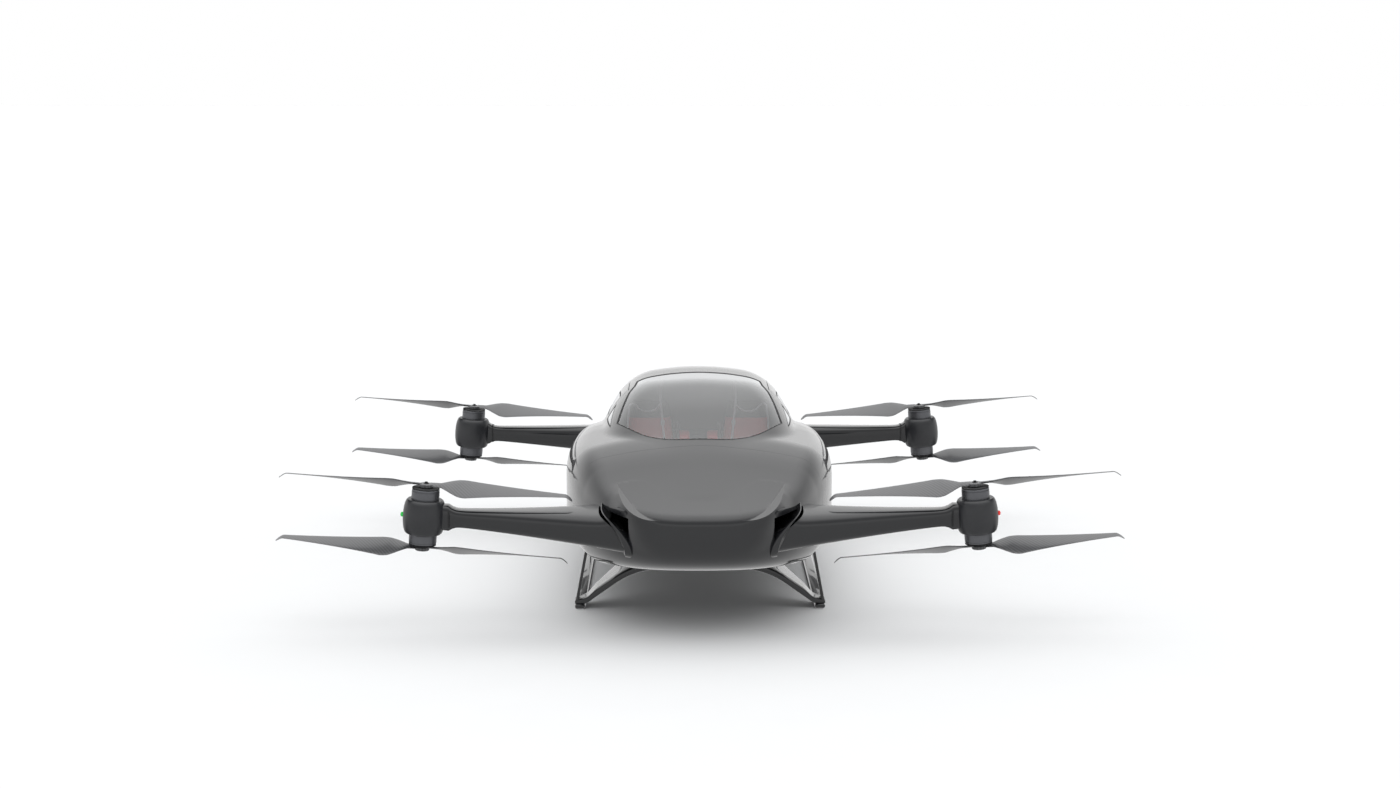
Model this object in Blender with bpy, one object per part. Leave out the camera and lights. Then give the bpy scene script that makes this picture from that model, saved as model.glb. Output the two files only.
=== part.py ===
import math

import bmesh
import bpy
import numpy as np
from mathutils import Matrix, Vector

# Two-seat electric air car with eight coaxial rotors on four arms, standing on its skids.
# Nose to -Y, up +Z, origin on the ground under the middle of the vehicle. Metres throughout.

# Hull
NOSE_LENGTH = 1.88
TAIL_LENGTH = 1.916
HULL_HALF_WIDTH = 0.925
PLAN_FULLNESS = 2.45
HULL_BOTTOM = 0.36
DECK_HEIGHT = 1.17
DECK_CROWN = 0.18
HOOD_ANGLE = math.radians(29.0)
HOOD_HEIGHT = DECK_HEIGHT
HOOD_STATION = -1.10
TAIL_ANGLE = math.radians(13.0)
TAIL_STATION = 0.10
BELLY_RISE_STATION = 0.95
BELLY_RISE_ANGLE = math.radians(13.0)
BELLY_NOSE_STATION = -1.20
BELLY_NOSE_ANGLE = math.radians(8.0)
SHOULDER_BLEND = 0.20
NOSE_SHARPENING = 0.11
NOSE_SHARP_FROM = -1.25
NOSE_SHARP_TO = -1.70
BELLY_BLEND = 0.24
WALL = 0.040

# Cabin canopy on top of the hull
CANOPY_RISE = 0.261
ROOF_HEIGHT = DECK_HEIGHT + CANOPY_RISE
ROOF_CROWN = 0.26
SCREEN_STATION = -1.10
SCREEN_HEIGHT = DECK_HEIGHT - 0.020
SCREEN_ANGLE = math.radians(25.5)
SCREEN_SWEEP = 0.50
SCREEN_HALF_WIDTH = 0.63
SCREEN_EDGE = 0.015
SCREEN_BLEND = 0.14
SCREEN_HEADER = 0.095
SCREEN_CORNER = 0.565
SCREEN_CORNER_SWEEP = 0.66
SCREEN_SIDE = ((0.492, -0.20), (0.455, -0.10), (0.440, 0.07), (0.230, 0.088))
ROOF_REAR_STATION = 0.25
ROOF_REAR_FALL = 0.28
CANOPY_BELT_HALF_WIDTH = 0.670
CANOPY_BELT_HEIGHT = DECK_HEIGHT - 0.085
WINDOW_LINE = DECK_HEIGHT - 0.035
WINDOW_TOP = WINDOW_LINE + 0.50 * (ROOF_HEIGHT - WINDOW_LINE)
CANOPY_SIDE_ANGLE = math.radians(27.0)
CANOPY_BLEND = 0.16
CANOPY_FOOT = 0.75
CANOPY_RIM = 0.10

# Panel splits and clearances
SEAT_GAP = 0.0003
DOOR_GAP = 0.006
NOSE_SPLIT = -1.15
TAIL_SPLIT = 1.05
SILL_HEIGHT = 0.52
DOOR_FRONT = -0.10
DOOR_REAR = 0.80
DOOR_HINGE_X = 0.492
HINGE_FRONT = -0.05
HINGE_REAR = 0.25
HINGE_SINK = 0.011
GLASS = 0.006
GLASS_INSET = 0.002

# Rotors, pods and arms
ROTOR_X = 1.76
ROTOR_Y = 1.50
POD_HEIGHT = 0.745
ROTOR_TILT = math.radians(4.85)
ROTOR_OFFSET = 0.205
PROP_RADIUS = 0.93
PROP_HUB_RADIUS = 0.046
PROP_HUB_HEIGHT = 0.034
BLADE_CHORD = 0.170
BLADE_TIP_CHORD = 0.052
BLADE_THICKNESS = 0.013
BLADE_ROOT_PITCH = math.radians(36.0)
BLADE_TIP_PITCH = math.radians(9.0)
BLADE_TIP_DROP = 0.030
POD_RADIUS = 0.135
POD_HALF_HEIGHT = 0.110
MOTOR_RADIUS = 0.088
MOTOR_HEIGHT = 0.068
MOTOR_SEAT = 0.060
ARM_TIP_HEIGHT = 0.103
ARM_ROOT_HEIGHT = 0.262
ARM_TIP_CHORD = 0.120
ARM_ROOT_CHORD = 0.380
ARM_ROOT_X = 0.455
ARM_ROOT_Y = 1.545
ARM_ROOT_Z = 0.672
ARM_CAP = 0.130
ARM_NOSE_DOWN = 0.26
ARM_END_LEAN = 0.13

# Recess in the nose that each front arm's root lies in
RECESS_CLEARANCE = 0.015
RECESS_REAR = -1.42
RECESS_TOP = 0.860

# Skids
SKID_X = 0.80
SKID_HALF_LENGTH = 1.02
SKID_WIDTH = 0.070
SKID_HEIGHT = 0.030
ARCH_Y = 0.95
ARCH_DEPTH = 0.110
ARCH_THICKNESS = 0.055
ARCH_SPREAD = 0.34
ARCH_WIDENING = 0.30
ARCH_LEG_SLOPE = 0.70
ARCH_CROWN_SLOPE = 0.21
STRUT_TOP_X = 0.735
STRUT_TOP = 0.445
STRUT_THICKNESS = 0.022
ARCH_TOE = 0.60
ARCH_TOE_LENGTH = 0.135

# Cabin
FLOOR_HEIGHT = 0.430
FLOOR_THICKNESS = 0.020
DASH_REAR = -0.66
SEAT_X = 0.36
SEAT_WIDTH = 0.46
SEAT_TOP_SHARE = 0.64
SEAT_BASE_TOP = 0.735
SEAT_FRONT = -0.12
SEAT_REAR = 0.34
SEAT_BACK_TOP = 1.215
SEAT_BACK_ANGLE = math.radians(20.0)
CUSHION = 0.13
BATTERY_LENGTH = 0.20
BATTERY_WIDTH = 0.90
BATTERY_HEIGHT = 0.42
BULKHEAD_STATION = 0.90

FAR = 3.0
ROUND = 22
LONGITUDES = 40
LATITUDES = 20


def clear_scene():
    for old in list(bpy.data.objects):
        bpy.data.objects.remove(old, do_unlink=True)


def make_collection(name, hidden):
    made = bpy.data.collections.new(name)
    bpy.context.scene.collection.children.link(made)
    made.hide_render = hidden
    return made


def material(name, colour, roughness, metallic=0.0):
    made = bpy.data.materials.new(name)
    made.use_nodes = True
    shader = made.node_tree.nodes["Principled BSDF"]
    shader.inputs["Base Color"].default_value = (*colour, 1.0)
    shader.inputs["Roughness"].default_value = roughness
    shader.inputs["Metallic"].default_value = metallic
    made.diffuse_color = (*colour, 1.0)
    return made


clear_scene()
PARTS = make_collection("air_car", False)
CUTTERS = make_collection("cutters", True)
PAINT = material("gloss_paint", (0.016, 0.017, 0.019), 0.12)
GRAPHITE = material("graphite_paint", (0.070, 0.071, 0.074), 0.35)
GLAZING = material("tinted_glazing", (0.10, 0.11, 0.12), 0.05)
CARBON = material("carbon_blade", (0.24, 0.24, 0.25), 0.42)
METAL = material("machined_metal", (0.35, 0.35, 0.36), 0.35, 1.0)
LEATHER = material("dark_leather", (0.03, 0.03, 0.032), 0.55)
TRIM = material("dark_trim", (0.02, 0.02, 0.021), 0.6)
BATTERY_CASE = material("battery_case", (0.12, 0.12, 0.13), 0.5)
LIGHT_GREEN = material("green_lens", (0.02, 0.45, 0.20), 0.1)
LIGHT_RED = material("red_lens", (0.60, 0.02, 0.02), 0.1)


def keep(obj, finish):
    """The object becomes a piece of the vehicle."""
    for owner in list(obj.users_collection):
        owner.objects.unlink(obj)
    PARTS.objects.link(obj)
    obj.data.materials.clear()
    obj.data.materials.append(finish)
    return obj


def as_cutter(obj):
    for owner in list(obj.users_collection):
        owner.objects.unlink(obj)
    CUTTERS.objects.link(obj)
    obj.hide_render = True
    obj.display_type = "WIRE"
    return obj


def mesh_object(name, points, faces):
    data = bpy.data.meshes.new(name)
    data.from_pydata([tuple(point) for point in points], [], faces)
    data.validate()
    obj = bpy.data.objects.new(name, data)
    bpy.context.scene.collection.objects.link(obj)
    shape = bmesh.new()
    shape.from_mesh(data)
    bmesh.ops.remove_doubles(shape, verts=shape.verts, dist=1e-6)
    bmesh.ops.recalc_face_normals(shape, faces=shape.faces)
    shape.to_mesh(data)
    shape.free()
    return obj


def box(name, low, high, bevel=0.0):
    shape = bmesh.new()
    bmesh.ops.create_cube(shape, size=1.0)
    size = [b - a for a, b in zip(low, high)]
    middle = [(a + b) / 2 for a, b in zip(low, high)]
    bmesh.ops.scale(shape, vec=size, verts=shape.verts)
    bmesh.ops.translate(shape, vec=middle, verts=shape.verts)
    if bevel:
        bmesh.ops.bevel(
            shape, geom=shape.edges[:], offset=bevel, segments=2, affect="EDGES", profile=0.5
        )
    data = bpy.data.meshes.new(name)
    shape.to_mesh(data)
    shape.free()
    obj = bpy.data.objects.new(name, data)
    bpy.context.scene.collection.objects.link(obj)
    return obj


def prism(name, outline, axis, low, high):
    """A closed prism over an outline, along one axis."""
    count = len(outline)
    points = []
    for level in (low, high):
        for a, b in outline:
            points.append({"X": (level, a, b), "Y": (a, level, b), "Z": (a, b, level)}[axis])
    faces = [tuple(range(count)), tuple(range(2 * count - 1, count - 1, -1))]
    for i in range(count):
        j = (i + 1) % count
        faces.append((i, j, count + j, count + i))
    return mesh_object(name, points, faces)


def boolean(obj, other, operation, solver="EXACT"):
    modifier = obj.modifiers.new(operation.lower(), "BOOLEAN")
    modifier.operation = operation
    modifier.object = other
    modifier.solver = solver
    return modifier


def settle(obj):
    """Works out the object's modifiers and keeps the result as its mesh."""
    graph = bpy.context.evaluated_depsgraph_get()
    data = bpy.data.meshes.new_from_object(obj.evaluated_get(graph))
    obj.modifiers.clear()
    obj.data = data
    shape = bmesh.new()
    shape.from_mesh(data)
    bmesh.ops.remove_doubles(shape, verts=shape.verts, dist=1e-5)
    bmesh.ops.dissolve_degenerate(shape, dist=1e-5, edges=shape.edges)
    shape.to_mesh(data)
    shape.free()
    return obj


def copy_of(obj, name):
    made = obj.copy()
    made.data = obj.data.copy()
    made.name = name
    bpy.context.scene.collection.objects.link(made)
    return made


def smooth_max(a, b, blend):
    near = np.maximum(blend - np.abs(a - b), 0.0) / blend
    return np.maximum(a, b) + near * near * blend / 4


def smooth_min(a, b, blend):
    return -smooth_max(-a, -b, blend)


def plan_field(x, y):
    """Distance outside the hull's outline as seen from above, in metres."""
    x = np.where(np.abs(x) + np.abs(y) < 1e-5, 1e-5, x)
    length = np.where(y > 0, TAIL_LENGTH, NOSE_LENGTH)
    spread = np.abs(x / HULL_HALF_WIDTH) ** PLAN_FULLNESS + np.abs(y / length) ** PLAN_FULLNESS
    plan = spread ** (1 / PLAN_FULLNESS)
    return np.hypot(x, y) * (1 - 1 / plan)


def hull_field(x, y, z):
    """Below zero inside the hull, and about the distance from its skin in metres."""
    deck = DECK_HEIGHT - DECK_CROWN * x * x
    hood = HOOD_HEIGHT + (y - HOOD_STATION) * math.tan(HOOD_ANGLE) - DECK_CROWN * x * x
    tail = DECK_HEIGHT + 0.02 - (y - TAIL_STATION) * math.tan(TAIL_ANGLE) - DECK_CROWN * x * x
    sheet = smooth_min(smooth_min(deck, hood, 0.12), tail, 0.12)
    top = (z - sheet) * math.cos(HOOD_ANGLE)
    rise = np.maximum(y - BELLY_RISE_STATION, 0.0) * math.tan(BELLY_RISE_ANGLE)
    rise = rise + np.maximum(BELLY_NOSE_STATION - y, 0.0) * math.tan(BELLY_NOSE_ANGLE)
    bottom = HULL_BOTTOM + rise - z
    forward = np.clip((y - NOSE_SHARP_FROM) / (NOSE_SHARP_TO - NOSE_SHARP_FROM), 0.0, 1.0)
    body = smooth_max(plan_field(x, y), top, SHOULDER_BLEND - NOSE_SHARPENING * forward)
    return smooth_max(body, bottom, BELLY_BLEND)


def canopy_field(x, y, z):
    """Below zero inside the canopy."""
    swept = SCREEN_STATION + SCREEN_SWEEP * np.abs(x / SCREEN_HALF_WIDTH) ** 2.2
    screen = (z - SCREEN_HEIGHT) * math.cos(SCREEN_ANGLE) - (y - swept) * math.sin(SCREEN_ANGLE)
    behind = np.maximum(y - ROOF_REAR_STATION, 0.0)
    steepness = np.sqrt(1 + (2 * ROOF_REAR_FALL * behind) ** 2)
    roof = (z - ROOF_HEIGHT + ROOF_CROWN * x * x + ROOF_REAR_FALL * behind ** 2) / steepness
    narrowing = 0.06 * (np.minimum(y, 0.0) / 0.9) ** 2 + 0.16 * (np.maximum(y, 0.0) / 1.4) ** 2
    across = (np.abs(x) - CANOPY_BELT_HALF_WIDTH + narrowing) * math.cos(CANOPY_SIDE_ANGLE)
    side = across + (z - CANOPY_BELT_HEIGHT) * math.sin(CANOPY_SIDE_ANGLE)
    top = smooth_max(screen, roof, SCREEN_BLEND)
    cabin = smooth_max(smooth_max(top, side, CANOPY_BLEND), plan_field(x, y) + CANOPY_RIM, CANOPY_BLEND)
    return np.maximum(cabin, CANOPY_FOOT - z)


def body_field(x, y, z):
    return smooth_min(hull_field(x, y, z), canopy_field(x, y, z), 0.02)


def body_surface(name, inset):
    """The closed skin that lies this far inside the outer one, found along rays from the cabin."""
    centre = np.array((0.0, 0.0, 0.80))
    reach = np.array((HULL_HALF_WIDTH, NOSE_LENGTH, 0.60))
    ups = np.linspace(-math.pi / 2, math.pi / 2, LATITUDES + 1)[1:-1]
    rounds = np.linspace(0, 2 * math.pi, LONGITUDES, endpoint=False)
    rays = [(0.0, 0.0, -1.0)]
    for up in ups:
        for turn in rounds:
            rays.append((math.cos(up) * math.sin(turn), math.cos(up) * math.cos(turn), math.sin(up)))
    rays.append((0.0, 0.0, 1.0))
    rays = np.array(rays) * reach
    near = np.full(len(rays), 0.05)
    far = np.full(len(rays), 1.6)
    for _ in range(34):
        middle = (near + far) / 2
        spots = centre + rays * middle[:, None]
        inside = body_field(spots[:, 0], spots[:, 1], spots[:, 2]) < -inset
        near = np.where(inside, middle, near)
        far = np.where(inside, far, middle)
    spots = centre + rays * near[:, None]
    faces = []
    last = len(spots) - 1
    for j in range(LONGITUDES):
        k = (j + 1) % LONGITUDES
        faces.append((0, 1 + j, 1 + k))
        top = 1 + (len(ups) - 1) * LONGITUDES
        faces.append((last, top + k, top + j))
        for i in range(len(ups) - 1):
            a = 1 + i * LONGITUDES
            b = a + LONGITUDES
            faces.append((a + j, b + j, b + k))
            faces.append((a + j, b + k, a + k))
    return mesh_object(name, spots, faces)


def skin_height(x, y):
    """Height of the outer skin over a point of the plan."""
    low = 0.8
    high = 1.7
    for _ in range(40):
        middle = (low + high) / 2
        if float(body_field(np.array(x), np.array(y), np.array(middle))) < 0:
            low = middle
        else:
            high = middle
    return low


def hinge_height():
    """The door axis runs level at the highest point of the skin along the door's upper edge."""
    stations = np.linspace(DOOR_FRONT, DOOR_REAR, 20)
    return max(skin_height(DOOR_HINGE_X, float(y)) for y in stations) - HINGE_SINK


def make_hinge(name, side):
    """Hinge rod in the seam between the roof and the door."""
    radius = DOOR_GAP / 2 - SEAT_GAP
    length = HINGE_REAR - HINGE_FRONT
    rows = [(0.0, 0.0), (radius, 0.0), (radius, length), (0.0, length)]
    along = Matrix.Rotation(-math.pi / 2, 4, "X")
    place = Matrix.Translation((side * DOOR_HINGE_X, HINGE_FRONT, hinge_height()))
    return keep(turned(name, rows, 12, place @ along), METAL)


def arm_section(side, end, t, grow, around):
    """One oval ring of an arm, t from 0 at its rounded inner end to 1 at the rotor axis."""
    reach = (ROTOR_X - ARM_ROOT_X) * t
    flare = (1 - t) ** 1.35
    open_share = 1 - min((reach + 0.004) / ARM_CAP, 1.0)
    cap = (1 - open_share ** 2.4) ** (1 / 2.4)
    half_height = (ARM_TIP_HEIGHT + (ARM_ROOT_HEIGHT - ARM_TIP_HEIGHT) * flare) / 2 * cap + grow
    half_chord = (ARM_TIP_CHORD + (ARM_ROOT_CHORD - ARM_TIP_CHORD) * flare) / 2 * cap + grow
    y = ARM_ROOT_Y + (ROTOR_Y - ARM_ROOT_Y) * t
    z = ARM_ROOT_Z + (POD_HEIGHT - ARM_ROOT_Z) * t
    ring = []
    for k in range(around):
        turn = 2 * math.pi * k / around
        across = math.copysign(abs(math.cos(turn)) ** 0.85, math.cos(turn)) * half_chord
        upward = math.copysign(abs(math.sin(turn)) ** 0.85, math.sin(turn)) * half_height
        lean = ARM_END_LEAN * ((1 + upward / half_height) / 2) ** 2 * (1 - t) ** 6
        drop = ARM_NOSE_DOWN * across * flare
        x = ARM_ROOT_X + reach + lean - (grow if t == 0 else 0.0)
        ring.append((side * x, end * (y + across), z + upward - drop))
    return ring


def loft_arm(name, side, end, grow=0.0):
    around = 16
    steps = 13
    points = []
    for i in range(steps):
        points += arm_section(side, end, (i / (steps - 1)) ** 1.8, grow, around)
    faces = []
    for i in range(steps - 1):
        for k in range(around):
            m = (k + 1) % around
            a = i * around
            b = a + around
            faces.append((a + k, a + m, b + m))
            faces.append((a + k, b + m, b + k))
    last = (steps - 1) * around
    faces.append(tuple(range(last + around - 1, last - 1, -1)))
    middle = np.mean(np.array(points[:around]), axis=0)
    points.append(tuple(middle))
    for k in range(around):
        faces.append((k, (k + 1) % around, len(points) - 1))
    return mesh_object(name, points, faces)


def rotor_frame(side, end, offset=0.0):
    """Place and lean of a rotor axis: the upper end leans inboard."""
    lean = Matrix.Rotation(-side * ROTOR_TILT, 4, "Y")
    middle = Matrix.Translation((side * ROTOR_X, end * ROTOR_Y, POD_HEIGHT))
    return middle @ lean @ Matrix.Translation((0, 0, offset))


def turned(name, profile, segments, matrix):
    """A solid of revolution from (radius, height) pairs that start and end on the axis."""
    points = []
    faces = []
    rings = []
    for radius, height in profile:
        if radius < 1e-9:
            rings.append([len(points)])
            points.append((0.0, 0.0, height))
            continue
        ring = []
        for k in range(segments):
            turn = 2 * math.pi * k / segments
            ring.append(len(points))
            points.append((radius * math.cos(turn), radius * math.sin(turn), height))
        rings.append(ring)
    for lower, upper in zip(rings, rings[1:]):
        for k in range(segments):
            m = (k + 1) % segments
            corners = [lower[k % len(lower)], lower[m % len(lower)]]
            corners += [upper[m % len(upper)], upper[k % len(upper)]]
            faces.append(tuple(dict.fromkeys(corners)))
    placed = [tuple(matrix @ Vector(point)) for point in points]
    return mesh_object(name, placed, faces)


def pod_profile(grow=0.0):
    rows = [(0.0, -POD_HALF_HEIGHT - grow)]
    steps = 6
    flat = MOTOR_RADIUS + 0.012
    for i in range(steps + 1):
        t = -1 + 2 * i / steps
        bulge = math.sqrt(max(1 - (t * 0.98) ** 2, 0.0)) ** 0.75
        radius = flat + (POD_RADIUS - flat) * bulge
        rows.append((radius + grow, t * (POD_HALF_HEIGHT + grow)))
    rows.append((0.0, POD_HALF_HEIGHT + grow))
    return rows


def make_pod(name, side, end):
    pod = turned(name, pod_profile(), ROUND, rotor_frame(side, end))
    for sign in (-1, 1):
        low = sign * (POD_HALF_HEIGHT - MOTOR_SEAT)
        high = sign * (POD_HALF_HEIGHT + 0.02)
        radius = MOTOR_RADIUS + SEAT_GAP
        ends = sorted((low, high))
        socket = [(0.0, ends[0]), (radius, ends[0]), (radius, ends[1]), (0.0, ends[1])]
        cutter = turned(name + "_socket", socket, ROUND, rotor_frame(side, end))
        boolean(pod, as_cutter(cutter), "DIFFERENCE")
    return keep(settle(pod), GRAPHITE)


def make_motor(name, side, end, sign):
    seat = POD_HALF_HEIGHT - MOTOR_SEAT + SEAT_GAP
    top = POD_HALF_HEIGHT + MOTOR_HEIGHT
    edge = 0.010
    shaft = 0.018
    rows = [
        (0.0, seat),
        (MOTOR_RADIUS, seat),
        (MOTOR_RADIUS, top - edge),
        (MOTOR_RADIUS - edge, top),
        (shaft, top),
        (shaft, ROTOR_OFFSET - PROP_HUB_HEIGHT / 2 - SEAT_GAP),
        (0.0, ROTOR_OFFSET - PROP_HUB_HEIGHT / 2 - SEAT_GAP),
    ]
    rows = [(radius, sign * height) for radius, height in rows]
    motor = turned(name, rows, ROUND, rotor_frame(side, end))
    return keep(motor, METAL)


def blade_points(direction, hand):
    """Sections of one blade along its span; hand is +1 where the rotor turns anticlockwise."""
    rows = []
    steps = 10
    for i in range(steps):
        t = (i / (steps - 1)) ** 0.9
        r = PROP_HUB_RADIUS * 0.55 + (PROP_RADIUS - PROP_HUB_RADIUS * 0.55) * t
        share = r / PROP_RADIUS
        if share < 0.28:
            grow = math.sin(max(share - 0.10, 0.0) / 0.18 * math.pi / 2)
            chord = 0.052 + (BLADE_CHORD - 0.052) * grow
        else:
            chord = BLADE_CHORD + (BLADE_TIP_CHORD - BLADE_CHORD) * ((share - 0.28) / 0.72) ** 0.9
        pitch = BLADE_TIP_PITCH + (BLADE_ROOT_PITCH - BLADE_TIP_PITCH) * (1 - share) ** 1.2
        pitch *= min(0.3 + 0.7 * share / 0.22, 1.0)
        drop = BLADE_TIP_DROP * max((share - 0.95) / 0.05, 0.0) ** 1.5
        thick = BLADE_THICKNESS * (1 - 0.72 * share) + 0.002
        rows.append((r, chord, pitch, drop, thick))
    points = []
    for r, chord, pitch, drop, thick in rows:
        for across, up in ((-0.5, 0.0), (-0.2, 0.5), (0.15, 0.62), (0.42, 0.34), (0.5, 0.0), (0.1, -0.38)):
            a = across * chord
            b = up * thick
            along = a * math.cos(pitch) - b * math.sin(pitch)
            lift = a * math.sin(pitch) + b * math.cos(pitch)
            points.append((direction * r, direction * hand * along, lift - drop))
    return points, len(rows)


def make_prop(name, side, end, sign):
    """Two-bladed rotor; the lower one turns the other way and both hang by the same hub."""
    hand = -side * sign
    pieces = []
    for direction in (-1, 1):
        points, rows = blade_points(direction, hand)
        faces = []
        around = len(points) // rows
        for i in range(rows - 1):
            for k in range(around):
                m = (k + 1) % around
                a = i * around
                b = a + around
                faces.append((a + k, a + m, b + m, b + k))
        faces.append(tuple(range(around)))
        last = (rows - 1) * around
        faces.append(tuple(range(last + around - 1, last - 1, -1)))
        pieces.append(mesh_object(name + "_blade", points, faces))
    half = PROP_HUB_HEIGHT / 2
    hub_rows = [(0.0, -half), (PROP_HUB_RADIUS, -half), (PROP_HUB_RADIUS, half * 0.6)]
    hub_rows += [(PROP_HUB_RADIUS * 0.72, half), (0.0, half)]
    hub = turned(name, hub_rows, 16, Matrix.Identity(4))
    for piece in pieces:
        boolean(hub, as_cutter(piece), "UNION")
    settle(hub)
    hub.data.transform(rotor_frame(side, end, sign * ROTOR_OFFSET))
    return keep(hub, CARBON)


def screen_outline(shrink):
    """Windscreen opening seen from above."""
    half = SCREEN_CORNER - shrink
    steps = 12
    front = []
    for i in range(steps + 1):
        x = half * (2 * i / steps - 1)
        swept = SCREEN_STATION + SCREEN_CORNER_SWEEP * abs(x / SCREEN_CORNER) ** 3
        front.append((x, swept + SCREEN_EDGE + shrink))
    side = [(x - shrink, y - shrink) for x, y in SCREEN_SIDE]
    mirrored = [(-x, y) for x, y in reversed(side)]
    return front + side + [(0.0, SCREEN_HEADER - shrink)] + mirrored


def inset_outline(outline, gap):
    """A convex outline drawn in by a gap on every side."""
    made = []
    count = len(outline)
    middle = Vector((sum(p[0] for p in outline) / count, sum(p[1] for p in outline) / count))
    for i in range(count):
        a = Vector(outline[i - 1])
        b = Vector(outline[i])
        c = Vector(outline[(i + 1) % count])
        first = (b - a).normalized()
        second = (c - b).normalized()
        normal_a = Vector((-first.y, first.x))
        normal_b = Vector((-second.y, second.x))
        if normal_a.dot(middle - b) < 0:
            normal_a.negate()
        if normal_b.dot(middle - b) < 0:
            normal_b.negate()
        bisector = (normal_a + normal_b).normalized()
        made.append(tuple(b + bisector * gap / max(bisector.dot(normal_a), 0.3)))
    return made


def window_outline(points):
    """Window corners from (station, share of the window's height)."""
    return [(y, WINDOW_LINE + (WINDOW_TOP - WINDOW_LINE) * share) for y, share in points]


QUARTER_WINDOW = window_outline([(-0.50, 0.0), (DOOR_FRONT - 0.055, 0.0), (DOOR_FRONT - 0.055, 0.75)])
DOOR_WINDOW = window_outline(
    [(DOOR_FRONT + 0.05, 0.0), (0.70, 0.0), (0.60, 0.42), (0.40, 0.79), (0.10, 0.98), (DOOR_FRONT + 0.05, 1.0)]
)


def recess(side, grow):
    """Room for the root of a front arm, open at the front and at the side."""
    inner = ARM_ROOT_X - RECESS_CLEARANCE - grow
    low = ARM_ROOT_Z - ARM_ROOT_HEIGHT / 2 - RECESS_CLEARANCE - grow
    top = RECESS_TOP + grow
    shoulder = ARM_ROOT_X + ARM_END_LEAN + RECESS_CLEARANCE
    outline = [(inner, low + 0.05), (inner, top - 0.05), (shoulder, top - 0.01), (FAR, top)]
    outline += [(FAR, low), (shoulder, low)]
    return prism("arm_recess", [(side * x, z) for x, z in outline], "Y", -FAR, RECESS_REAR + grow)


def split_shell():
    """Skin panels, doors and glazing, all cut from one pair of skins."""
    outer = body_surface("outer_skin", 0.0)
    inner = body_surface("inner_skin", WALL)
    for side in (-1, 1):
        boolean(outer, as_cutter(recess(side, 0.0)), "DIFFERENCE")
        boolean(inner, as_cutter(recess(side, WALL)), "DIFFERENCE")
    inner = as_cutter(settle(inner))
    for side, end in ((1, 1), (1, -1), (-1, 1), (-1, -1)):
        sleeve = as_cutter(loft_arm("arm_sleeve", side, end, SEAT_GAP))
        boolean(outer, sleeve, "DIFFERENCE")
    boolean(outer, inner, "DIFFERENCE")
    shell = settle(outer)
    glass_outer = body_surface("glass_outer", GLASS_INSET)
    glass_inner = as_cutter(body_surface("glass_inner", GLASS_INSET + GLASS))
    boolean(glass_outer, glass_inner, "DIFFERENCE")
    glass = settle(glass_outer)

    nose = copy_of(shell, "nose_cowl")
    boolean(nose, as_cutter(box("nose_region", (-FAR, -FAR, -FAR), (FAR, NOSE_SPLIT, FAR))), "INTERSECT")
    keep(settle(nose), PAINT)
    tail = copy_of(shell, "tail_cowl")
    boolean(tail, as_cutter(box("tail_region", (-FAR, TAIL_SPLIT, -FAR), (FAR, FAR, FAR))), "INTERSECT")
    keep(settle(tail), PAINT)
    front = NOSE_SPLIT + SEAT_GAP
    rear = TAIL_SPLIT - SEAT_GAP
    tub = copy_of(shell, "lower_tub")
    boolean(tub, as_cutter(box("tub_region", (-FAR, front, -FAR), (FAR, rear, SILL_HEIGHT))), "INTERSECT")
    keep(settle(tub), PAINT)
    cabin = copy_of(shell, "cabin_frame")
    base = SILL_HEIGHT + SEAT_GAP
    boolean(cabin, as_cutter(box("cabin_region", (-FAR, front, base), (FAR, rear, FAR))), "INTERSECT")
    screen = as_cutter(prism("screen_opening", screen_outline(0.0), "Z", 0.9, 2.0))
    boolean(cabin, screen, "DIFFERENCE")
    for side in (-1, 1):
        low, high = sorted((side * (DOOR_HINGE_X - DOOR_GAP / 2), side * FAR))
        region = box("door_region", (low, DOOR_FRONT - DOOR_GAP, -1), (high, DOOR_REAR + DOOR_GAP, FAR))
        boolean(cabin, as_cutter(region), "DIFFERENCE")
        low, high = sorted((side * 0.3, side * 1.3))
        boolean(cabin, as_cutter(prism("quarter_opening", QUARTER_WINDOW, "X", low, high)), "DIFFERENCE")
    keep(settle(cabin), PAINT)

    pane = copy_of(glass, "windscreen")
    cutter = prism("screen_region", screen_outline(SEAT_GAP), "Z", 1.05, 2.0)
    boolean(pane, as_cutter(cutter), "INTERSECT", "MANIFOLD")
    keep(settle(pane), GLAZING)
    for side, word in ((1, "left"), (-1, "right")):
        low, high = sorted((side * 0.3, side * 1.3))
        pane = copy_of(glass, "quarter_glass_" + word)
        cutter = prism("quarter_region", inset_outline(QUARTER_WINDOW, SEAT_GAP), "X", low, high)
        boolean(pane, as_cutter(cutter), "INTERSECT")
        keep(settle(pane), GLAZING)
        door = copy_of(shell, "door_" + word)
        a, b = sorted((side * (DOOR_HINGE_X + DOOR_GAP / 2), side * FAR))
        region = box("door_solid", (a, DOOR_FRONT, SILL_HEIGHT + DOOR_GAP), (b, DOOR_REAR, FAR))
        boolean(door, as_cutter(region), "INTERSECT")
        boolean(door, as_cutter(prism("door_opening", DOOR_WINDOW, "X", low, high)), "DIFFERENCE")
        keep(settle(door), PAINT)
        pane = copy_of(glass, "door_glass_" + word)
        cutter = prism("door_pane", inset_outline(DOOR_WINDOW, SEAT_GAP), "X", low, high)
        boolean(pane, as_cutter(cutter), "INTERSECT")
        keep(settle(pane), GLAZING)
    as_cutter(shell)
    as_cutter(glass)


def inside_only(obj, room):
    boolean(obj, room, "INTERSECT")
    return settle(obj)


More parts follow.
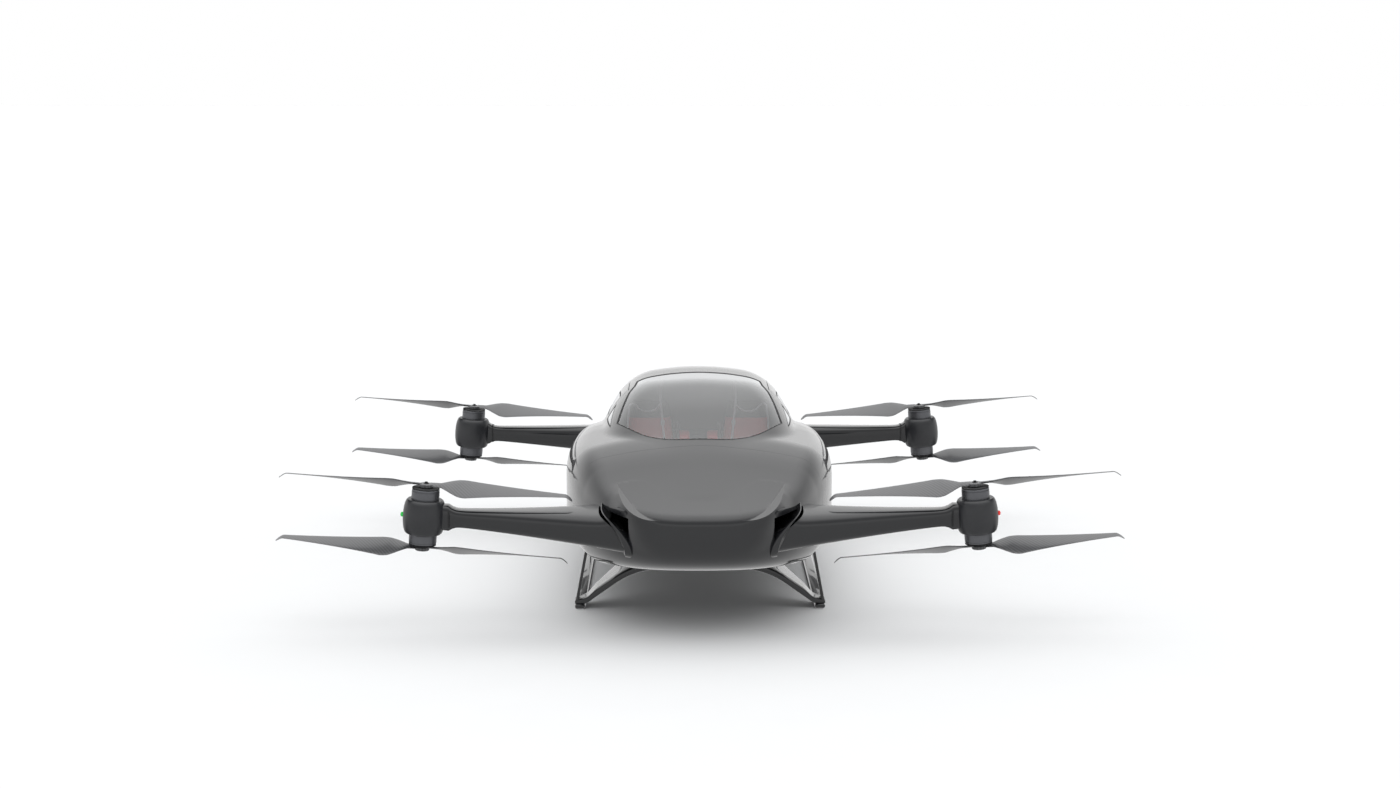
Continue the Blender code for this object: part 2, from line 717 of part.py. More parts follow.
def make_cabin():
    room = as_cutter(body_surface("cabin_room", WALL + SEAT_GAP))
    floor_top = FLOOR_HEIGHT + FLOOR_THICKNESS
    floor = box("cabin_floor", (-1, NOSE_SPLIT + 0.02, FLOOR_HEIGHT), (1, 0.95, floor_top))
    keep(inside_only(floor, room), TRIM)
    wall_low = (-1, BULKHEAD_STATION, floor_top + SEAT_GAP)
    wall = box("rear_bulkhead", wall_low, (1, BULKHEAD_STATION + FLOOR_THICKNESS, 2))
    keep(inside_only(wall, room), TRIM)
    dash = box("dashboard", (-1, -0.98, DECK_HEIGHT - 0.34), (1, DASH_REAR, DECK_HEIGHT - 0.14), 0.03)
    keep(inside_only(dash, room), TRIM)
    screen_low = (-0.26, DASH_REAR + SEAT_GAP, DECK_HEIGHT - 0.29)
    screen_high = (0.26, DASH_REAR + SEAT_GAP + 0.015, DECK_HEIGHT - 0.12)
    screen = box("display", screen_low, screen_high)
    keep(screen, TRIM)
    console = box("centre_console", (-0.085, DASH_REAR, floor_top + SEAT_GAP), (0.085, 0.33, 0.70), 0.015)
    keep(console, TRIM)
    battery_rear = BULKHEAD_STATION - SEAT_GAP
    battery_foot = floor_top + SEAT_GAP
    battery_low = (-BATTERY_WIDTH / 2, battery_rear - BATTERY_LENGTH, battery_foot)
    battery_high = (BATTERY_WIDTH / 2, battery_rear, battery_foot + BATTERY_HEIGHT)
    battery = box("battery_pack", battery_low, battery_high, 0.01)
    keep(battery, BATTERY_CASE)
    for side, word in ((1, "left"), (-1, "right")):
        middle = side * SEAT_X
        half = SEAT_WIDTH / 2
        plinth_low = (middle - half * 0.8, SEAT_FRONT + 0.05, floor_top + SEAT_GAP)
        plinth_high = (middle + half * 0.8, SEAT_REAR, SEAT_BASE_TOP - CUSHION - SEAT_GAP)
        keep(box("seat_plinth_" + word, plinth_low, plinth_high, 0.01), TRIM)
        cushion_low = (middle - half, SEAT_FRONT, SEAT_BASE_TOP - CUSHION)
        cushion_high = (middle + half, SEAT_REAR, SEAT_BASE_TOP)
        keep(box("seat_cushion_" + word, cushion_low, cushion_high, 0.03), LEATHER)
        length = SEAT_BACK_TOP - SEAT_BASE_TOP + CUSHION * 0.6
        back = box("seat_back_" + word, (-half, 0, 0), (half, CUSHION, length), 0.03)
        for vertex in back.data.vertices:
            if vertex.co.z > length / 2:
                vertex.co.x *= SEAT_TOP_SHARE
        lean = Matrix.Rotation(-SEAT_BACK_ANGLE, 4, "X")
        place = Matrix.Translation((middle, 0, SEAT_BASE_TOP - CUSHION * 0.6))
        back.data.transform(place @ lean)
        front = min(vertex.co.y for vertex in back.data.vertices)
        back.data.transform(Matrix.Translation((0, SEAT_REAR + SEAT_GAP - front, 0)))
        keep(back, LEATHER)


def arch_height(x):
    """Underside of an arch: straight legs that run into a gently crowned top, and flat feet."""
    top = HULL_BOTTOM - ARCH_THICKNESS - SEAT_GAP
    leg = ARCH_LEG_SLOPE * (SKID_X - abs(x))
    crown = top - ARCH_CROWN_SLOPE * (abs(x) - ARCH_DEPTH)
    bowed = float(smooth_min(smooth_min(leg, crown, 0.05), top, 0.02))
    return max(bowed, SKID_HEIGHT + SEAT_GAP)


def make_arch(name, end, clear):
    """Cross beam under the belly, from foot to foot, with a strut up to the hull at each end."""
    steps = 28
    reach = SKID_X + SKID_WIDTH / 2
    front = end * (ARCH_Y + ARCH_DEPTH / 2)
    points = []
    for i in range(steps + 1):
        x = reach * (2 * i / steps - 1)
        low = arch_height(x)
        spread = min(max((SKID_X - abs(x)) / ARCH_WIDENING, 0.0), 1.0)
        back = end * (ARCH_Y - ARCH_DEPTH / 2 - ARCH_SPREAD * spread)
        toe = min(max((abs(x) - reach + ARCH_TOE_LENGTH) / ARCH_TOE_LENGTH, 0.0), 1.0)
        high = low + ARCH_THICKNESS * (1 - ARCH_TOE * toe)
        for y, z in ((front, low), (front, high), (back, high), (back, low)):
            points.append((x, y, z))
    faces = [(0, 1, 2, 3), tuple(4 * steps + k for k in range(4))]
    for i in range(steps):
        for k in range(4):
            m = (k + 1) % 4
            faces.append((4 * i + k, 4 * i + m, 4 * i + 4 + m, 4 * i + 4 + k))
    arch = mesh_object(name, points, faces)
    low, high = sorted((end * (ARCH_Y - ARCH_DEPTH / 2), front))
    for side in (-1, 1):
        foot = reach - 0.001
        outline = [(foot - STRUT_THICKNESS, SKID_HEIGHT + 0.01), (foot, SKID_HEIGHT + 0.01)]
        outline += [(STRUT_TOP_X + STRUT_THICKNESS, STRUT_TOP), (STRUT_TOP_X, STRUT_TOP)]
        strut = prism("strut", [(side * x, z) for x, z in outline], "Y", low + 0.001, high - 0.001)
        boolean(arch, as_cutter(strut), "UNION")
    boolean(arch, clear, "DIFFERENCE")
    return keep(settle(arch), PAINT)


def make_skid(name, side):
    low, high = sorted((side * (SKID_X - SKID_WIDTH / 2), side * (SKID_X + SKID_WIDTH / 2)))
    runner = box(name, (low, -SKID_HALF_LENGTH, 0.0), (high, SKID_HALF_LENGTH, SKID_HEIGHT), 0.012)
    return keep(settle(runner), PAINT)


def make_lights():
    for side, word, finish in ((-1, "right", LIGHT_GREEN), (1, "left", LIGHT_RED)):
        rows = [(0.0, 0.0), (0.016, 0.0), (0.014, 0.012), (0.0, 0.018)]
        frame = rotor_frame(side, -1)
        outward = Matrix.Rotation(side * math.pi / 2, 4, "Y")
        place = frame @ Matrix.Translation((side * (POD_RADIUS + SEAT_GAP), 0, 0)) @ outward
        keep(turned("nav_light_" + word, rows, 14, place), finish)


def build():
    split_shell()
    make_cabin()
    clear = as_cutter(body_surface("skin_clearance", -SEAT_GAP))
    for end, place in ((-1, "front"), (1, "rear")):
        make_arch("skid_arch_" + place, end, clear)
        for side, word in ((1, "left"), (-1, "right")):
            where = place + "_" + word
            arm = loft_arm("arm_" + where, side, end)
            room = turned("pod_room", pod_profile(SEAT_GAP), ROUND, rotor_frame(side, end))
            boolean(arm, as_cutter(room), "DIFFERENCE")
            keep(settle(arm), PAINT)
            make_pod("pod_" + where, side, end)
            for sign, level in ((1, "upper"), (-1, "lower")):
                make_motor("motor_" + where + "_" + level, side, end, sign)
                make_prop("prop_" + where + "_" + level, side, end, sign)
    for side, word in ((1, "left"), (-1, "right")):
        make_skid("skid_" + word, side)
        make_hinge("door_hinge_" + word, side)
    make_lights()


build()
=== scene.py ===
import math

import bpy
import numpy as np
from mathutils import Matrix, Vector


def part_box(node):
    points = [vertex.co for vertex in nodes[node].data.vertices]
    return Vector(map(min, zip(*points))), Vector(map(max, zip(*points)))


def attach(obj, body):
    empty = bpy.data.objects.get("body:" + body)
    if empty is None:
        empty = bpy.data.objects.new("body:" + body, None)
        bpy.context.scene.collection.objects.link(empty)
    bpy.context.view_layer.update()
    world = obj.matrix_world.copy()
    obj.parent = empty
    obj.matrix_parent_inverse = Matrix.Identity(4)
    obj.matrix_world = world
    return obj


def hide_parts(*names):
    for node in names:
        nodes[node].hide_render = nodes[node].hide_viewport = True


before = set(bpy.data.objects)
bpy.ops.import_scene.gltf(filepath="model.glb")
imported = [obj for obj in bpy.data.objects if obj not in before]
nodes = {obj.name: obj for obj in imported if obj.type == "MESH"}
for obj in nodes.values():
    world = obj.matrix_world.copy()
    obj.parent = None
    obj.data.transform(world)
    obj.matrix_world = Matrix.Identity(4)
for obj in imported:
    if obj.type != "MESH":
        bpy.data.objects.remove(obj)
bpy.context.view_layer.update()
print("frame loaded:", len(nodes), "nodes")


# ways of working

def deselectAll():
    if bpy.context.mode != "OBJECT":
        bpy.ops.object.mode_set(mode="OBJECT")
    bpy.ops.object.select_all(action="DESELECT")


def takeUp(obj):
    deselectAll()
    obj.select_set(True)
    bpy.context.view_layer.objects.active = obj


def editAll(obj):
    takeUp(obj)
    bpy.ops.object.mode_set(mode="EDIT")
    bpy.ops.mesh.select_all(action="SELECT")


def leaveEdit():
    bpy.ops.object.mode_set(mode="OBJECT")


def named(name):
    made = bpy.context.object
    made.name = name
    made.data.name = name
    return made


def readPoints(obj):
    flat = np.empty(len(obj.data.vertices) * 3)
    obj.data.vertices.foreach_get("co", flat)
    return flat.reshape(-1, 3)


def writePoints(obj, points):
    obj.data.vertices.foreach_set("co", np.ascontiguousarray(points, dtype=float).ravel())
    obj.data.update()


def applyModifier(obj, kind, **settings):
    takeUp(obj)
    modifier = obj.modifiers.new(kind.lower(), kind)
    for name, value in settings.items():
        setattr(modifier, name, value)
    bpy.ops.object.modifier_apply(modifier=modifier.name)


def cut(obj, cutter, operation="DIFFERENCE", solver="MANIFOLD"):
    applyModifier(obj, "BOOLEAN", object=cutter, operation=operation, solver=solver)


def discard(*objs):
    for obj in objs:
        bpy.data.objects.remove(obj, do_unlink=True)


def copyPiece(obj, name, place=None, mirrored=False):
    made = obj.copy()
    made.data = obj.data.copy()
    made.name = name
    made.data.name = name
    bpy.context.scene.collection.objects.link(made)
    if place is not None:
        made.data.transform(place)
    if mirrored:
        made.data.flip_normals()
    return made


mirrorX = Matrix.Scale(-1, 4, (1, 0, 0))


def joined(name, parts):
    deselectAll()
    for part in parts:
        part.select_set(True)
    bpy.context.view_layer.objects.active = parts[0]
    bpy.ops.object.join()
    return named(name)


def smoothByAngle(obj, degrees=30):
    takeUp(obj)
    bpy.ops.object.shade_smooth_by_angle(angle=math.radians(degrees))


def finishPiece(obj, body, finish, replaced=(), degrees=30):
    if finish is not None:
        obj.data.materials.clear()
        obj.data.materials.append(finish)
    smoothByAngle(obj, degrees)
    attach(obj, body)
    if replaced:
        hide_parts(*replaced)


def prism(name, outline, axis, low, high):
    # a flat outline pushed along one axis, as a cutter or a plate
    spots = {"X": lambda a, b: (low, a, b), "Y": lambda a, b: (a, low, b), "Z": lambda a, b: (a, b, low)}
    along = {"X": (high - low, 0, 0), "Y": (0, high - low, 0), "Z": (0, 0, high - low)}[axis]
    mesh = bpy.data.meshes.new(name)
    mesh.from_pydata([spots[axis](a, b) for a, b in outline], [], [range(len(outline))])
    obj = bpy.data.objects.new(name, mesh)
    bpy.context.scene.collection.objects.link(obj)
    editAll(obj)
    bpy.ops.mesh.extrude_region_move(TRANSFORM_OT_translate={"value": along})
    bpy.ops.mesh.select_all(action="SELECT")
    bpy.ops.mesh.normals_make_consistent(inside=False)
    leaveEdit()
    return obj


def block(name, low, high, bevel=0.0, segments=3):
    middle = [(a + b) / 2 for a, b in zip(low, high)]
    size = [b - a for a, b in zip(low, high)]
    deselectAll()
    bpy.ops.mesh.primitive_cube_add(size=1, location=middle)
    bpy.context.object.scale = size
    bpy.ops.object.transform_apply(location=True, rotation=True, scale=True)
    made = named(name)
    if bevel:
        editAll(made)
        bpy.ops.mesh.bevel(offset=bevel, segments=segments, affect="EDGES", profile=0.5)
        leaveEdit()
    return made


def shapedGrid(name, lengthwise, around, place):
    # a grid whose rows are laid as rings by place(u, v), u along and v around, both 0 to 1, its ends closed
    deselectAll()
    bpy.ops.mesh.primitive_grid_add(x_subdivisions=lengthwise, y_subdivisions=around, size=2)
    made = named(name)
    flat = readPoints(made)
    writePoints(made, place((flat[:, 0] + 1) / 2, (flat[:, 1] + 1) / 2))
    editAll(made)
    bpy.ops.mesh.remove_doubles(threshold=1e-5)
    bpy.ops.mesh.select_all(action="DESELECT")
    bpy.ops.mesh.select_non_manifold(extend=False)
    bpy.ops.mesh.fill_holes(sides=0)
    bpy.ops.mesh.select_all(action="SELECT")
    bpy.ops.mesh.normals_make_consistent(inside=False)
    leaveEdit()
    return made


def turned(name, profile, around, place):
    # a profile of (radius, height) rows spun round its axis, then put in place
    rows = np.array(profile, dtype=float)
    last = len(rows) - 1

    def lay(u, v):
        row = u * last
        radius = np.interp(row, np.arange(last + 1), rows[:, 0])
        height = np.interp(row, np.arange(last + 1), rows[:, 1])
        return np.stack((radius * np.cos(2 * math.pi * v), radius * np.sin(2 * math.pi * v), height), axis=1)

    made = shapedGrid(name, last, around, lay)
    made.data.transform(place)
    return made


def tube(name, spots, radius):
    # a round bead or rod along a smooth curve through a few spots
    curve = bpy.data.curves.new(name, "CURVE")
    curve.dimensions = "3D"
    curve.bevel_depth = radius
    curve.bevel_resolution = 2
    curve.use_fill_caps = True
    curve.resolution_u = 10
    spline = curve.splines.new("BEZIER")
    spline.bezier_points.add(len(spots) - 1)
    for point, spot in zip(spline.bezier_points, spots):
        point.co = spot
        point.handle_left_type = "AUTO"
        point.handle_right_type = "AUTO"
    obj = bpy.data.objects.new(name, curve)
    bpy.context.scene.collection.objects.link(obj)
    takeUp(obj)
    bpy.ops.object.convert(target="MESH")
    return named(name)


# materials

def linear(code):
    channels = [int(code[i:i + 2], 16) / 255 for i in (0, 2, 4)]
    return [c / 12.92 if c <= 0.04045 else ((c + 0.055) / 1.055) ** 2.4 for c in channels] + [1.0]


def addNode(tree, kind, inputs=None, **settings):
    made = tree.nodes.new(kind)
    for name, value in settings.items():
        setattr(made, name, value)
    for name, value in (inputs or {}).items():
        if isinstance(value, bpy.types.NodeSocket):
            tree.links.new(value, made.inputs[name])
        else:
            made.inputs[name].default_value = value
    return made


def newMaterial(name, **sockets):
    made = bpy.data.materials.new(name)
    made.use_nodes = True
    tree = made.node_tree
    shader = tree.nodes["Principled BSDF"]
    for socket, value in sockets.items():
        shader.inputs[socket.replace("_", " ")].default_value = value
    place = addNode(tree, "ShaderNodeTexCoord").outputs["Object"]
    return made, tree, shader, place


def speckle(tree, place, size, detail=2.0):
    # noise whose grains are about this many metres across
    inputs = {"Vector": place, "Scale": 1 / size, "Detail": detail}
    return addNode(tree, "ShaderNodeTexNoise", inputs).outputs["Fac"]


def between(tree, share, first, second):
    # colour from first to second as share goes from 0 to 1
    mixed = addNode(tree, "ShaderNodeMix", {"Factor": share}, data_type="RGBA")
    mixed.inputs[6].default_value = linear(first)
    mixed.inputs[7].default_value = linear(second)
    return mixed.outputs[2]


def uneven(tree, shader, pattern, low, high, fromLow=0.3, fromHigh=0.7):
    # roughness that follows a pattern over the surface
    inputs = {"Value": pattern, "From Min": fromLow, "From Max": fromHigh, "To Min": low, "To Max": high}
    spread = addNode(tree, "ShaderNodeMapRange", inputs).outputs["Result"]
    tree.links.new(spread, shader.inputs["Roughness"])


def dent(tree, shader, height, depth, strength=1.0):
    bump = addNode(tree, "ShaderNodeBump", {"Height": height, "Strength": strength, "Distance": depth})
    tree.links.new(bump.outputs["Normal"], shader.inputs["Normal"])


def glossPaint():
    # black two-coat car paint: the clear coat carries nearly all the light, with faint orange peel
    made, tree, shader, place = newMaterial("gloss_black_car_paint", Roughness=0.32, Coat_Weight=1.0)
    shader.inputs["Coat Roughness"].default_value = 0.03
    shader.inputs["Coat IOR"].default_value = 1.5
    shader.inputs["Specular IOR Level"].default_value = 0.12
    flake = speckle(tree, place, 0.0015)
    tree.links.new(between(tree, flake, "17181A", "1E1F22"), shader.inputs["Base Color"])
    dent(tree, shader, speckle(tree, place, 0.004), 0.00002)
    return made


def tintedGlass():
    # laminated screen glass with a grey tint: clear straight through, mirror-like at a slant
    made, tree, shader, place = newMaterial("tinted_screen_glass")
    tree.nodes.remove(shader)
    fresnel = addNode(tree, "ShaderNodeFresnel", {"IOR": 1.5}).outputs["Fac"]
    faces = addNode(tree, "ShaderNodeNewGeometry").outputs["Backfacing"]
    front = addNode(tree, "ShaderNodeMath", {0: 1.0, 1: faces}, operation="SUBTRACT").outputs[0]
    doubled = addNode(tree, "ShaderNodeMath", {0: fresnel, 1: 1.9}, operation="MULTIPLY").outputs[0]
    inputs = {0: doubled, 1: front}
    share = addNode(tree, "ShaderNodeMath", inputs, operation="MULTIPLY", use_clamp=True).outputs[0]
    through = addNode(tree, "ShaderNodeBsdfTransparent", {"Color": linear("E6E8EA")}).outputs[0]
    mirror = addNode(tree, "ShaderNodeBsdfGlossy", {"Roughness": 0.015, "Color": linear("F4F5F6")}).outputs[0]
    mixed = addNode(tree, "ShaderNodeMixShader", {0: share, 1: through, 2: mirror}).outputs[0]
    tree.links.new(mixed, tree.nodes["Material Output"].inputs["Surface"])
    return made


def satinPaint(name, first, second, roughness):
    # satin powder coat: even fine pebble that softens every highlight
    made, tree, shader, place = newMaterial(name)
    cloud = speckle(tree, place, 0.05)
    tree.links.new(between(tree, cloud, first, second), shader.inputs["Base Color"])
    uneven(tree, shader, cloud, roughness - 0.04, roughness + 0.04)
    dent(tree, shader, speckle(tree, place, 0.002), 0.00005)
    return made


def anodised():
    # black anodised aluminium, turned on a lathe: fine rings and a dull metal sheen
    made, tree, shader, place = newMaterial("black_anodised_aluminium", Metallic=0.75)
    rings = addNode(tree, "ShaderNodeTexWave", {"Vector": place, "Scale": 160.0, "Distortion": 0.6})
    rings.bands_direction = "Z"
    tree.links.new(between(tree, rings.outputs["Fac"], "5C5D60", "6B6C70"), shader.inputs["Base Color"])
    uneven(tree, shader, rings.outputs["Fac"], 0.30, 0.42, 0.0, 1.0)
    return made


def carbonTwill():
    # carbon fibre in 2 by 2 twill under a matt lacquer; the tows are 6 mm, so that the diagonals show. The
    # weave is real, but its two tones are painted sheen: one fibre, with the over tows lighter for how warp
    # and weft catch the light differently
    made, tree, shader, place = newMaterial("carbon_fibre_twill", Coat_Weight=0.6)
    shader.inputs["Coat Roughness"].default_value = 0.22
    parts = addNode(tree, "ShaderNodeSeparateXYZ", {0: place})
    towWidth = 0.006
    counts = []
    for axis in ("X", "Y"):
        inputs = {0: parts.outputs[axis], 1: towWidth}
        rows = addNode(tree, "ShaderNodeMath", inputs, operation="DIVIDE").outputs[0]
        counts.append(addNode(tree, "ShaderNodeMath", {0: rows}, operation="FLOOR").outputs[0])
    stepped = addNode(tree, "ShaderNodeMath", {0: counts[0], 1: counts[1]}, operation="ADD").outputs[0]
    turn = addNode(tree, "ShaderNodeMath", {0: stepped, 1: 4.0}, operation="FLOORED_MODULO").outputs[0]
    over = addNode(tree, "ShaderNodeMath", {0: turn, 1: 1.5}, operation="LESS_THAN").outputs[0]
    # painted sheen: the tows lying over get the lighter base colour, standing in for their different
    # reflection
    tree.links.new(between(tree, over, "2F3032", "454649"), shader.inputs["Base Color"])
    uneven(tree, shader, over, 0.34, 0.46, 0.0, 1.0)
    return made


def leather(name, first, second, redBelow=None):
    # pigmented seat leather: grain of about 2 mm, soft sheen on the crowns
    made, tree, shader, place = newMaterial(name, Roughness=0.48)
    grain = addNode(tree, "ShaderNodeTexVoronoi", {"Vector": place, "Scale": 450.0})
    tone = between(tree, speckle(tree, place, 0.03), first, second)
    if redBelow is not None:
        height = addNode(tree, "ShaderNodeSeparateXYZ", {0: place}).outputs["Z"]
        low = addNode(tree, "ShaderNodeMath", {0: height, 1: redBelow}, operation="LESS_THAN").outputs[0]
        red = between(tree, speckle(tree, place, 0.03), "D24548", "DE5053")
        mixed = addNode(tree, "ShaderNodeMix", {"Factor": low}, data_type="RGBA")
        tree.links.new(tone, mixed.inputs[6])
        tree.links.new(red, mixed.inputs[7])
        tone = mixed.outputs[2]
    tree.links.new(tone, shader.inputs["Base Color"])
    dent(tree, shader, grain.outputs["Distance"], 0.0003, 0.5)
    return made


def mouldedPlastic(name, first, second, roughness=0.55):
    # moulded ABS with the fine spark-eroded grain of car trim
    made, tree, shader, place = newMaterial(name)
    tree.links.new(between(tree, speckle(tree, place, 0.06), first, second), shader.inputs["Base Color"])
    grain = speckle(tree, place, 0.0012, 3.0)
    uneven(tree, shader, grain, roughness - 0.06, roughness + 0.06)
    dent(tree, shader, grain, 0.0001)
    return made


def carpet():
    # looped wool carpet: 4 mm tufts, no gloss at all
    made, tree, shader, place = newMaterial("looped_carpet", Roughness=0.95)
    tuft = addNode(tree, "ShaderNodeTexVoronoi", {"Vector": place, "Scale": 250.0}).outputs["Distance"]
    tree.links.new(between(tree, tuft, "303134", "1D1E20"), shader.inputs["Base Color"])
    dent(tree, shader, tuft, 0.002)
    return made


def rubber():
    # EPDM rubber: nearly black, chalky and slightly uneven
    made, tree, shader, place = newMaterial("epdm_rubber")
    dust = speckle(tree, place, 0.02)
    tree.links.new(between(tree, dust, "141415", "1E1E20"), shader.inputs["Base Color"])
    uneven(tree, shader, dust, 0.62, 0.8)
    return made


def lens(name, first, second, strength):
    # moulded polycarbonate lamp lens, lit from behind and ribbed every 3 mm
    made, tree, shader, place = newMaterial(name, Roughness=0.12, Emission_Strength=strength)
    ribs = addNode(tree, "ShaderNodeTexWave", {"Vector": place, "Scale": 100.0})
    tree.links.new(between(tree, ribs.outputs["Fac"], first, second), shader.inputs["Base Color"])
    tree.links.new(between(tree, ribs.outputs["Fac"], first, second), shader.inputs["Emission Color"])
    dent(tree, shader, ribs.outputs["Fac"], 0.0003)
    return made


def displayGlass():
    # switched-off screen: black glass over a dark grey panel
    made, tree, shader, place = newMaterial("display_cover_glass", Coat_Weight=1.0)
    tree.links.new(between(tree, speckle(tree, place, 0.1), "08090B", "101216"), shader.inputs["Base Color"])
    uneven(tree, shader, speckle(tree, place, 0.02), 0.08, 0.12)
    return made


paint = glossPaint()
glass = tintedGlass()
podPaint = satinPaint("graphite_powder_coat", "222326", "2A2B2E", 0.34)
metal = anodised()
twill = carbonTwill()
seatLeather = leather("pigmented_leather", "3C3D40", "48494C", 1.035)
redLeather = leather("red_leather", "D24548", "DE5053")
piping = leather("pale_leather_piping", "E4E4E5", "EDEDEE")
trim = mouldedPlastic("moulded_abs_trim", "232426", "2C2D30")
shelf = mouldedPlastic("moulded_abs_grey", "3C3D40", "47484B", 0.6)
lining = mouldedPlastic("woven_headliner", "4A4B4E", "55565A", 0.85)
floorCarpet = carpet()
sealRubber = rubber()
greenLens = lens("green_polycarbonate", "1F9A3C", "2DBE4F", 0.5)
redLens = lens("red_polycarbonate", "B3231F", "D83A32", 0.5)
displayFace = displayGlass()
caseMetal = satinPaint("battery_case_coat", "5A5C5F", "66686B", 0.5)
print("materials made")


# body skin: the hull and canopy forms that the frame's panels are cut from

hull = {
    "nose": 1.88, "tail": 1.916, "halfWidth": 0.925, "fullness": 2.45, "bottom": 0.36,
    "deck": 1.17, "deckCrown": 0.18, "deckBlend": 0.12, "tailStep": 0.02,
    "hoodAngle": math.radians(29.0), "hoodHeight": 1.17,
    "hoodStation": -1.10, "tailAngle": math.radians(13.0), "tailStation": 0.10,
    "bellyRise": math.radians(13.0), "bellyStation": 0.95, "shoulder": 0.20, "bellyBlend": 0.24,
    "bellyNoseRise": math.radians(8.0), "bellyNoseStation": -1.20,
    "sharpening": 0.11, "sharpFrom": -1.25, "sharpTo": -1.70,
    "crispness": 0.045, "hoodBreak": -1.25, "hoodLift": 0.062, "hoodReach": 0.6, "hoodPower": 1.6,
    "wall": 0.040,
}
canopy = {
    "roof": 1.431, "roofCrown": 0.26, "roofRear": 0.25, "roofFall": 0.28,
    "screenStation": -1.10, "screenHeight": 1.150, "screenAngle": math.radians(25.5),
    "screenSweep": 0.50, "screenHalf": 0.63, "screenBlend": 0.14, "beltHalf": 0.670, "beltHeight": 1.085,
    "sideAngle": math.radians(27.0), "blend": 0.16, "foot": 0.75, "rim": 0.10, "sweepPower": 2.2,
    "narrowing": ((0.06, 0.9), (0.16, 1.4)), "join": 0.02,  # share and reach, forward and rearward
}
screen = {
    "edge": 0.015, "header": 0.095, "corner": 0.565, "cornerSweep": 0.53,
    "rubber": 0.013, "band": 0.020, "from": 1.05, "to": 2.0,
    "side": ((0.492, -0.20), (0.455, -0.10), (0.440, 0.07), (0.230, 0.088)),
}
panels = {
    "noseSplit": -1.15, "tailSplit": 1.05, "sill": 0.52, "seam": 0.0014, "doorGap": 0.006,
    "doorFront": -0.10, "doorRear": 0.80, "hingeX": 0.492, "hingeRoom": 0.001,
    "sealRoom": 0.005, "sealThickness": 0.004, "sealLap": 0.012,
    "glassInset": 0.002, "glassThickness": 0.006, "lined": 0.93, "far": 3.0,
}
ledge = {
    "inner": 0.245, "outer": 0.59, "height": 0.800, "rise": 0.112, "slope": math.radians(10.0),
    "push": 0.054, "below": 0.26, "above": 0.10, "station": -1.76, "rear": -1.42,
    "risePower": 1.8, "swellPower": 1.5, "fadeFrom": 1.44, "fadeLength": 0.14, "hair": 0.0003,
}


def smoothMax(a, b, blend):
    near = np.maximum(blend - np.abs(a - b), 0.0) / blend
    return np.maximum(a, b) + near * near * blend / 4


def smoothMin(a, b, blend):
    return -smoothMax(-a, -b, blend)


def planField(x, y):
    x = np.where(np.abs(x) + np.abs(y) < 1e-5, 1e-5, x)
    length = np.where(y > 0, hull["tail"], hull["nose"])
    full = hull["fullness"]
    plan = (np.abs(x / hull["halfWidth"]) ** full + np.abs(y / length) ** full) ** (1 / full)
    return np.hypot(x, y) * (1 - 1 / plan)


def hullField(x, y, z, crisp=0.0):
    crown = hull["deckCrown"] * x * x
    deck = hull["deck"] - crown
    hood = hull["hoodHeight"] + (y - hull["hoodStation"]) * math.tan(hull["hoodAngle"]) - crown
    ahead = np.maximum(hull["hoodBreak"] - y, 0.0) / hull["hoodReach"]
    hood = hood + crisp * hull["hoodLift"] * ahead ** hull["hoodPower"]
    tail = deck + hull["tailStep"] - (y - hull["tailStation"]) * math.tan(hull["tailAngle"])
    sheet = smoothMin(smoothMin(deck, hood, hull["deckBlend"]), tail, hull["deckBlend"])
    top = (z - sheet) * math.cos(hull["hoodAngle"])
    rise = np.maximum(y - hull["bellyStation"], 0.0) * math.tan(hull["bellyRise"])
    rise = rise + np.maximum(hull["bellyNoseStation"] - y, 0.0) * math.tan(hull["bellyNoseRise"])
    forward = np.clip((y - hull["sharpFrom"]) / (hull["sharpTo"] - hull["sharpFrom"]), 0.0, 1.0)
    softness = hull["shoulder"] - (hull["sharpening"] + crisp * hull["crispness"]) * forward
    body = smoothMax(planField(x, y), top, softness)
    return smoothMax(body, hull["bottom"] + rise - z, hull["bellyBlend"])


def canopyField(x, y, z):
    outward = np.abs(x / canopy["screenHalf"]) ** canopy["sweepPower"]
    swept = canopy["screenStation"] + canopy["screenSweep"] * outward
    screen = (z - canopy["screenHeight"]) * math.cos(canopy["screenAngle"])
    screen = screen - (y - swept) * math.sin(canopy["screenAngle"])
    behind = np.maximum(y - canopy["roofRear"], 0.0)
    steepness = np.sqrt(1 + (2 * canopy["roofFall"] * behind) ** 2)
    roof = (z - canopy["roof"] + canopy["roofCrown"] * x * x + canopy["roofFall"] * behind ** 2) / steepness
    (front, frontReach), (rear, rearReach) = canopy["narrowing"]
    narrowing = front * (np.minimum(y, 0.0) / frontReach) ** 2 + rear * (np.maximum(y, 0.0) / rearReach) ** 2
    across = (np.abs(x) - canopy["beltHalf"] + narrowing) * math.cos(canopy["sideAngle"])
    side = across + (z - canopy["beltHeight"]) * math.sin(canopy["sideAngle"])
    cabin = smoothMax(smoothMax(screen, roof, canopy["screenBlend"]), side, canopy["blend"])
    cabin = smoothMax(cabin, planField(x, y) + canopy["rim"], canopy["blend"])
    return np.maximum(cabin, canopy["foot"] - z)


def bodyField(x, y, z, crisp=0.0):
    return smoothMin(hullField(x, y, z, crisp), canopyField(x, y, z), canopy["join"])


def ledgeShare(x):
    return np.clip((np.abs(x) - ledge["inner"]) / (ledge["outer"] - ledge["inner"]), 0.0, 1.0)


def ledgeHeight(x, y):
    rise = ledge["rise"] * ledgeShare(x) ** ledge["risePower"]
    return ledge["height"] + rise + (y - ledge["station"]) * math.tan(ledge["slope"])


